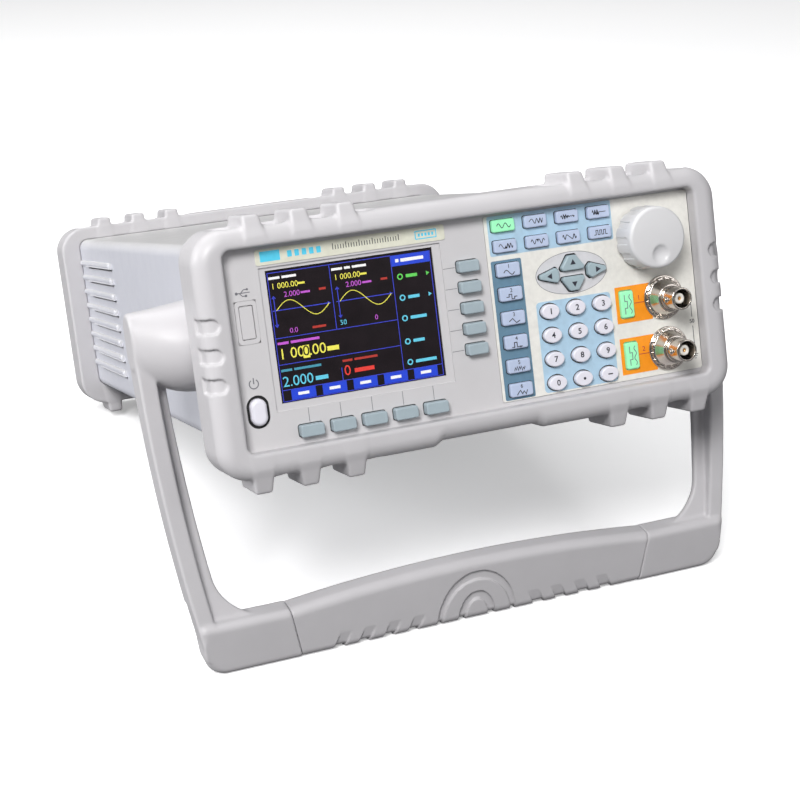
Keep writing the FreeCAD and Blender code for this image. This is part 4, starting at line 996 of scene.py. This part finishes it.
def stepped(levels, x, z, wide, high):
    """A signal that jumps between levels of -1 to 1 in equal steps."""
    points = []
    for i, level in enumerate(levels):
        points += [(x + wide * (i / len(levels) - 0.5), z + high / 2 * level),
                   (x + wide * ((i + 1) / len(levels) - 0.5), z + high / 2 * level)]
    return points


def zigzag(levels, x, z, wide, high):
    """Straight lines from level to level."""
    last = len(levels) - 1
    return [(x + wide * (i / last - 0.5), z + high / 2 * level) for i, level in enumerate(levels)]


def upright(steps, x, z, wide, high):
    """Two turns of a sine, drawn from below upward."""
    spots = [i / steps for i in range(steps + 1)]
    return [(x + wide / 2 * swing(2 * t), z + high * (t - 0.5)) for t in spots]


def swing(turns):
    return math.sin(2 * math.pi * turns)


WAVES = (  # each is a way of drawing, its signal, and how many steps where that isn't 40
    (wave, swing),
    (stepped, (-0.1, 1, -1, -0.1)),
    (zigzag, (-0.2, 1, -1, -0.2)),
    (stepped, (-1, 1, -1, -1)),
    (zigzag, (-0.8, 0.6, -0.5, 1, -0.9, 0.8, -0.3, 0.9, -1, 0.4, -0.6, 0.7)),
    (zigzag, (-1, 0.1, 0.9, -0.7, 0.4, -1, 0.8)),
)
MODES = (
    (wave, lambda t: swing(2 * t)),
    (wave, lambda t: swing(0.8 * t + 2.4 * t * t), 60),
    (wave, lambda t: swing(6 * t) * (0.55 + 0.45 * swing(t)), 90),
    (wave, lambda t: swing(6 * t) if t < 0.5 else 0.0, 72),
    (wave, lambda t: swing(t * (2 if t < 0.5 else 5)), 72),
    (wave, lambda t: swing(3 * t) * (1 if t < 0.5 else -1), 60),
    (wave, lambda t: swing(3 * t + 0.35 * swing(t)), 72),
    (stepped, (-1, 1, -1, 1, -1, 1, -1)),
)
LEGENDS = (  # family, signals, how far below the middle, width, height and thickness
    ("wave", WAVES, 1.1, 5.0, 2.0, 0.34),
    ("mode", MODES, 0.0, 6.4, 1.9, 0.3),
)
DIGITS = ("1", "2", "3", "4", "5", "6", "7", "8", "9", "0", ".", "-")


def make_legends():
    """The marks on the keys; each rides on its own key."""
    for family, signals, drop, wide, high, thick in LEGENDS:
        for i, (draw, signal, *steps) in enumerate(signals, 1):
            x, z, front = face_of(f"{family}_key_{i}")
            line = draw(signal, x, z - drop, wide, high, *steps)
            strokes(f"{family}_legend_{i}", [line], thick, front, f"{family}_{i}", "blue_key",
                    INKS["dark"])
    for i in range(1, len(WAVES) + 1):
        x, z, front = face_of(f"wave_key_{i}")
        bm = bmesh.new()
        figures(bm, str(i), x, z + 1.5, front, 2.4)
        piece(f"wave_figure_{i}", bm, f"wave_{i}", "blue_key", INKS["dark"])
    for i, text in enumerate(DIGITS, 1):
        x, z, front = face_of(f"digit_key_{i}")
        bm = bmesh.new()
        if text == ".":
            slab(bm, [ellipse(x, z, 1.2, 1.2, 20)], front - INK, front + 0.02)
        elif text == "-":
            slab(bm, [oblong(x, z, 2.2, 0.5, 0.1)], front - INK, front + 0.02)
        else:
            figures(bm, text, x, z, front, 3.5, bold=0.06)
        piece(f"digit_legend_{i}", bm, f"digit_{i}", "white_key", INKS["dark"])
    for way, turn in zip(ARROWS, (90, 270, 180, 0)):
        x, z, front = face_of(f"arrow_key_{way}")
        outline = arc(x, z, 1.5, turn, turn + 240, 2)
        patches(f"arrow_legend_{way}", [[outline]], front, f"arrow_{way}", "arrow_key",
                INKS["dark"])
    for side in "ab":
        x, z, front = face_of(f"output_key_{side}")
        left, right = x - 1.4, x - 0.2
        square = [(left, z - 4.2), (left, z - 1.6), (right, z - 1.6), (right, z + 1.4),
                  (left, z + 1.4), (left, z + 4.2)]
        lines = [square, upright(36, x + 1.3, z, 1.0, 8.4)]
        strokes(f"output_legend_{side}", lines, 0.3, front, f"output_{side}", "green_key",
                INKS["grey"])


# ----------------------------------------------------------------- the screen

SCREEN = (-88.1, -15.5, -23.6, 30.8)  # the glass seen in the window: X, then Z
LIGHTS = {name: lit(name.replace("_", " ") + " pixels", colour) for name, colour in (
    ("white", (0.85, 0.85, 0.85)),
    ("yellow", (0.80, 0.75, 0.10)),
    ("magenta", (0.50, 0.10, 0.58)),
    ("red", (0.42, 0.04, 0.03)),
    ("bright_red", (0.72, 0.05, 0.04)),
    ("cyan", (0.12, 0.55, 0.72)),
    ("teal", (0.06, 0.28, 0.38)),
    ("green", (0.12, 0.60, 0.10)),
    ("blue", (0.045, 0.06, 0.55)),
    ("tab", (0.02, 0.06, 0.60)),
    ("dark", (0.02, 0.02, 0.01)),
)}
GLOW = 0.05  # how far lit marks stand off the glass, mm


def on_screen(across, down):
    """The level X and Z of a place on the screen, from shares of its width and height."""
    left, right, low, top = SCREEN
    return left + (right - left) * across, top - (top - low) * down


def glass_front():
    return level_box("display_module")[0][1]


def screen_lines(name, colour, lines, width, lift=GLOW):
    drawn = [[on_screen(*spot) for spot in line] for line in lines]
    strokes(name, drawn, width, glass_front(), "instrument", "screen_glass", LIGHTS[colour], lift)


def screen_box(left, right, top, bottom, radius=0.1):
    """A rectangle's outline from its left, right, top and bottom shares."""
    low_x, high_z = on_screen(left, top)
    high_x, low_z = on_screen(right, bottom)
    return about(low_x, high_x, low_z, high_z, radius)


def screen_patches(name, colour, outlines, layer=0):
    """Filled outlines on the glass, or standing a layer further out."""
    patches(name, outlines, glass_front() - layer * GLOW, "instrument", "screen_glass",
            LIGHTS[colour], GLOW)


def screen_figures(name, colour, items, layer=0):
    """Numerals, each as text, middle across and down, and height in mm."""
    bm = bmesh.new()
    for text, across, down, size in items:
        figures(bm, text, *on_screen(across, down), glass_front() - layer * GLOW, size, GLOW)
    piece(name, bm, "instrument", "screen_glass", LIGHTS[colour])


def word(across, down, widths, high, gap=0.012):
    """The outlines of short bars that stand for a word."""
    outlines = []
    for wide in widths:
        outlines.append([screen_box(across, across + wide, down - high / 4, down + high / 4)])
        across += wide + gap
    return outlines


SCREEN_WORDS = (  # piece, colour, then each word's start across and down, bar widths and height
    ("titles", "white", (0.016, 0.062, (0.065, 0.085), 0.036),
     (0.386, 0.062, (0.065, 0.035, 0.085), 0.036)),
    ("units", "magenta", (0.192, 0.195, (0.055,), 0.03), (0.56, 0.19, (0.055,), 0.03)),
    ("count_units", "yellow", (0.182, 0.125, (0.04,), 0.03), (0.552, 0.125, (0.04,), 0.03)),
    ("hints", "red", (0.30, 0.19, (0.04,), 0.034), (0.672, 0.185, (0.04,), 0.034),
     (0.235, 0.468, (0.08,), 0.034), (0.385, 0.757, (0.06, 0.14), 0.034)),
    ("heading", "magenta", (0.02, 0.552, (0.065, 0.17), 0.038)),
    ("reading_unit", "yellow", (0.305, 0.645, (0.07,), 0.07)),
    ("level_heading", "teal", (0.02, 0.757, (0.065, 0.16), 0.036)),
    ("level_unit", "cyan", (0.215, 0.852, (0.075,), 0.062)),
    ("step_unit", "bright_red", (0.45, 0.842, (0.12,), 0.062)),
)
SCREEN_NUMBERS = (  # piece, colour, then each number, its middle across and down, and its height
    ("counts", "yellow", ("1 000.00", 0.105, 0.125, 3.3), ("1 000.00", 0.475, 0.125, 3.3)),
    ("levels", "magenta", ("2.000", 0.140, 0.195, 3.1), ("2.000", 0.507, 0.19, 3.1),
     ("0.0", 0.125, 0.468, 2.9), ("0", 0.62, 0.468, 2.9)),
    ("share", "cyan", ("50", 0.42, 0.468, 2.9)),
    ("reading", "yellow", ("1 00", 0.095, 0.637, 6.2), (".00", 0.248, 0.637, 6.2)),
    ("level_reading", "cyan", ("2.000", 0.112, 0.846, 6.0)),
    ("step_reading", "bright_red", ("0", 0.408, 0.836, 6.0)),
)


def make_screen():
    """Two channel windows, the readings below them and the soft menus round them."""
    blue_lines = [
        [(0.012, 0.022), (0.745, 0.022)], [(0.012, 0.022), (0.012, 0.99)],
        [(0.375, 0.022), (0.375, 0.512)], [(0.745, 0.022), (0.745, 0.905)],
        [(0.012, 0.512), (0.745, 0.512)], [(0.012, 0.712), (0.745, 0.712)],
        [(0.012, 0.905), (0.985, 0.905)], [(0.375, 0.805), (0.375, 0.905)],
        [(0.985, 0.022), (0.985, 0.99)], [(0.012, 0.99), (0.985, 0.99)]]
    screen_lines("screen_grid", "blue", blue_lines, 0.3)
    axes, waves = [], []
    for left in (0.03, 0.405):
        axes += [[(left - 0.012, 0.305), (left + 0.325, 0.305)],
                 [(left + 0.002, 0.2), (left + 0.002, 0.425)],
                 [(left - 0.008, 0.215), (left + 0.002, 0.198), (left + 0.012, 0.215)],
                 [(left - 0.008, 0.41), (left + 0.002, 0.427), (left + 0.012, 0.41)],
                 [(left + 0.312, 0.295), (left + 0.326, 0.305), (left + 0.312, 0.315)]]
        waves.append([(left + 0.01 + 0.31 * i / 48, 0.305 - 0.068 * swing(i / 48)) for i in range(49)])
    screen_lines("screen_axes", "blue", axes, 0.36)
    screen_lines("screen_waves", "yellow", waves, 0.3, 0.09)
    for name, colour, *words in SCREEN_WORDS:
        screen_patches("screen_" + name, colour, [bar for spot in words for bar in word(*spot)])
    for name, colour, *items in SCREEN_NUMBERS:
        screen_figures("screen_" + name, colour, items)
    screen_patches("screen_cursor", "yellow", [[screen_box(0.160, 0.200, 0.592, 0.688)]])
    screen_figures("screen_cursor_figure", "dark", [("0", 0.180, 0.637, 6.0)], 1)


def make_menus():
    """The blue tabs along the bottom, the head of the menu and its five rows."""
    tabs = [[screen_box(0.062 + 0.186 * i, 0.207 + 0.186 * i, 0.907, 0.985)] for i in range(5)]
    screen_patches("screen_tabs", "tab", tabs + [[screen_box(0.748, 0.982, 0.024, 0.106)]])
    marks = word(0.772, 0.066, (0.02, 0.14), 0.05)
    for i in range(5):
        marks += word(0.102 + 0.186 * i, 0.945, (0.065,), 0.045)
    screen_patches("screen_tab_marks", "white", marks, 1)
    screen_patches("screen_menu_green", "green", menu_row(0.19, 0.07))
    rows = ((0.352, 0.07), (0.51, 0.1), (0.69, 0.07), (0.85, 0.13))
    screen_patches("screen_menu_cyan", "cyan", [mark for row in rows for mark in menu_row(*row)])


def menu_row(down, wide):
    """A ring, a bar and, on the first rows, an arrowhead that stand for a menu entry."""
    x, z = on_screen(0.79, down)
    loops = [[ellipse(x, z, 2.6, 2.6, 24), ellipse(x, z, 1.5, 1.5, 24)],
             [screen_box(0.825, 0.825 + wide, down - 0.012, down + 0.012, 0.2)]]
    if down < 0.4:
        loops.append([arc(*on_screen(0.958, down), 1.0, 0, 240, 2)])
    return loops


# ------------------------------------------------------------- camera, lights

CAMERA_SPOT = (-264.98, -642.45, 72.52)  # level mm
CAMERA_RIGHT = (0.92971, -0.34808, -0.12030)  # the way that the picture's right and lower sides face
CAMERA_DOWN = (-0.16410, -0.09909, -0.98145)
CAMERA_LENS = 74.36  # mm, on a 36 mm sensor


def make_camera():
    """The camera at the photograph's angle."""
    data = bpy.data.cameras.new("camera")
    data.lens = CAMERA_LENS
    data.sensor_width = 36
    data.clip_start, data.clip_end = 0.05, 20
    item = placed("camera", data)
    right, up = Vector(CAMERA_RIGHT), -Vector(CAMERA_DOWN)
    turn = Matrix((right, up, right.cross(up))).transposed().to_4x4()
    item.matrix_world = LEVEL @ Matrix.Translation(Vector(CAMERA_SPOT) * MM) @ turn
    bpy.context.scene.camera = item


def area_light(name, place, aim, wide, high, power, colour=(1, 1, 1)):
    data = bpy.data.lights.new(name, "AREA")
    data.shape = "RECTANGLE"
    data.size, data.size_y = wide, high
    data.energy = power
    data.color = colour
    item = placed(name, data)
    item.location = place
    item.rotation_mode = "QUATERNION"
    item.rotation_quaternion = (Vector(aim) - Vector(place)).to_track_quat("-Z", "Y")


FLOOR_REACH = 6.0  # metres each way
FLOOR_LIFT = 0.34  # evens out the floor that the camera sees
FLOOR_BOUNCE = (0.20, 0.20, 0.205)  # what the floor gives back to the undersides


def make_floor():
    """A wide pale floor at the bench line, which lights the undersides only a little."""
    level = cad_box[0].z
    bm = bmesh.new()
    for x, y in ((-1, -1), (1, -1), (1, 1), (-1, 1)):
        bm.verts.new((x * FLOOR_REACH, y * FLOOR_REACH, level))
    bm.faces.new(bm.verts)
    mesh = bpy.data.meshes.new("floor")
    bm.to_mesh(mesh)
    bm.free()
    paint = Paint("floor", (0.96, 0.96, 0.965), 0.85, specular=0.1)
    seen = paint.ramp(paint.noise(400), (0.955, 0.955, 0.96), (0.965, 0.965, 0.97))
    ray = paint.nodes.new("ShaderNodeLightPath").outputs["Is Camera Ray"]
    mix = paint.nodes.new("ShaderNodeMix")
    mix.data_type = "RGBA"
    mix.inputs["A"].default_value = (*FLOOR_BOUNCE, 1)
    paint.links.new(ray, mix.inputs["Factor"])
    paint.links.new(seen, mix.inputs["B"])
    paint.links.new(mix.outputs["Result"], paint.shader.inputs["Base Color"])
    lift = paint.nodes.new("ShaderNodeMath")
    lift.operation = "MULTIPLY"
    lift.inputs[1].default_value = FLOOR_LIFT
    paint.links.new(ray, lift.inputs[0])
    paint.links.new(lift.outputs[0], paint.shader.inputs["Emission Strength"])
    paint.shader.inputs["Emission Color"].default_value = (1, 1, 1, 1)
    mesh.materials.append(paint.material)
    placed("floor", mesh)


def make_light():
    """A soft room, darker low down, with four soft boxes."""
    world = bpy.data.worlds.new("studio")
    world.use_nodes = True
    nodes, links = world.node_tree.nodes, world.node_tree.links
    sky = nodes["Background"]
    place = nodes.new("ShaderNodeTexCoord")
    split = nodes.new("ShaderNodeSeparateXYZ")
    links.new(place.outputs["Generated"], split.inputs[0])
    tone = nodes.new("ShaderNodeValToRGB")
    tone.color_ramp.elements[0].position = 0.0
    tone.color_ramp.elements[0].color = (0.32, 0.33, 0.36, 1)
    tone.color_ramp.elements[1].position = 0.75
    tone.color_ramp.elements[1].color = (1, 1, 1, 1)
    links.new(split.outputs["Z"], tone.inputs["Fac"])
    links.new(tone.outputs["Color"], sky.inputs["Color"])
    sky.inputs["Strength"].default_value = 0.27
    backdrop = nodes.new("ShaderNodeBackground")
    backdrop.inputs["Color"].default_value = (0.97, 0.97, 0.97, 1)
    ray = nodes.new("ShaderNodeLightPath").outputs["Is Camera Ray"]
    mix = nodes.new("ShaderNodeMixShader")
    links.new(ray, mix.inputs["Fac"])
    links.new(sky.outputs["Background"], mix.inputs[1])
    links.new(backdrop.outputs["Background"], mix.inputs[2])
    links.new(mix.outputs["Shader"], nodes["World Output"].inputs["Surface"])
    bpy.context.scene.world = world
    aim = (0, 0, 0.1)
    area_light("key", (-0.75, -1.15, 1.35), aim, 0.6, 0.6, 29, (1.0, 0.99, 0.99))
    area_light("front", (1.05, -1.4, 0.8), aim, 0.8, 0.7, 4, (0.99, 0.99, 1.0))
    area_light("side", (-1.6, 0.2, 0.7), aim, 0.7, 0.7, 16)
    area_light("top", (-0.1, 0.7, 1.5), aim, 1.2, 0.6, 10)
    bpy.context.scene.view_settings.view_transform = "Standard"


dress_cad()
make_bumpers()
make_handle()
make_knob()
make_jacks()
make_card()
# black sheets in the key gaps: painted shade
make_key_gaps()
make_strip()
make_leaders()
make_panel_marks()
# black ring in the power button's gap: painted shade
make_power_ring()
make_data_port()
make_louvres()
make_legends()
make_screen()
make_menus()
make_floor()
make_light()
make_camera()
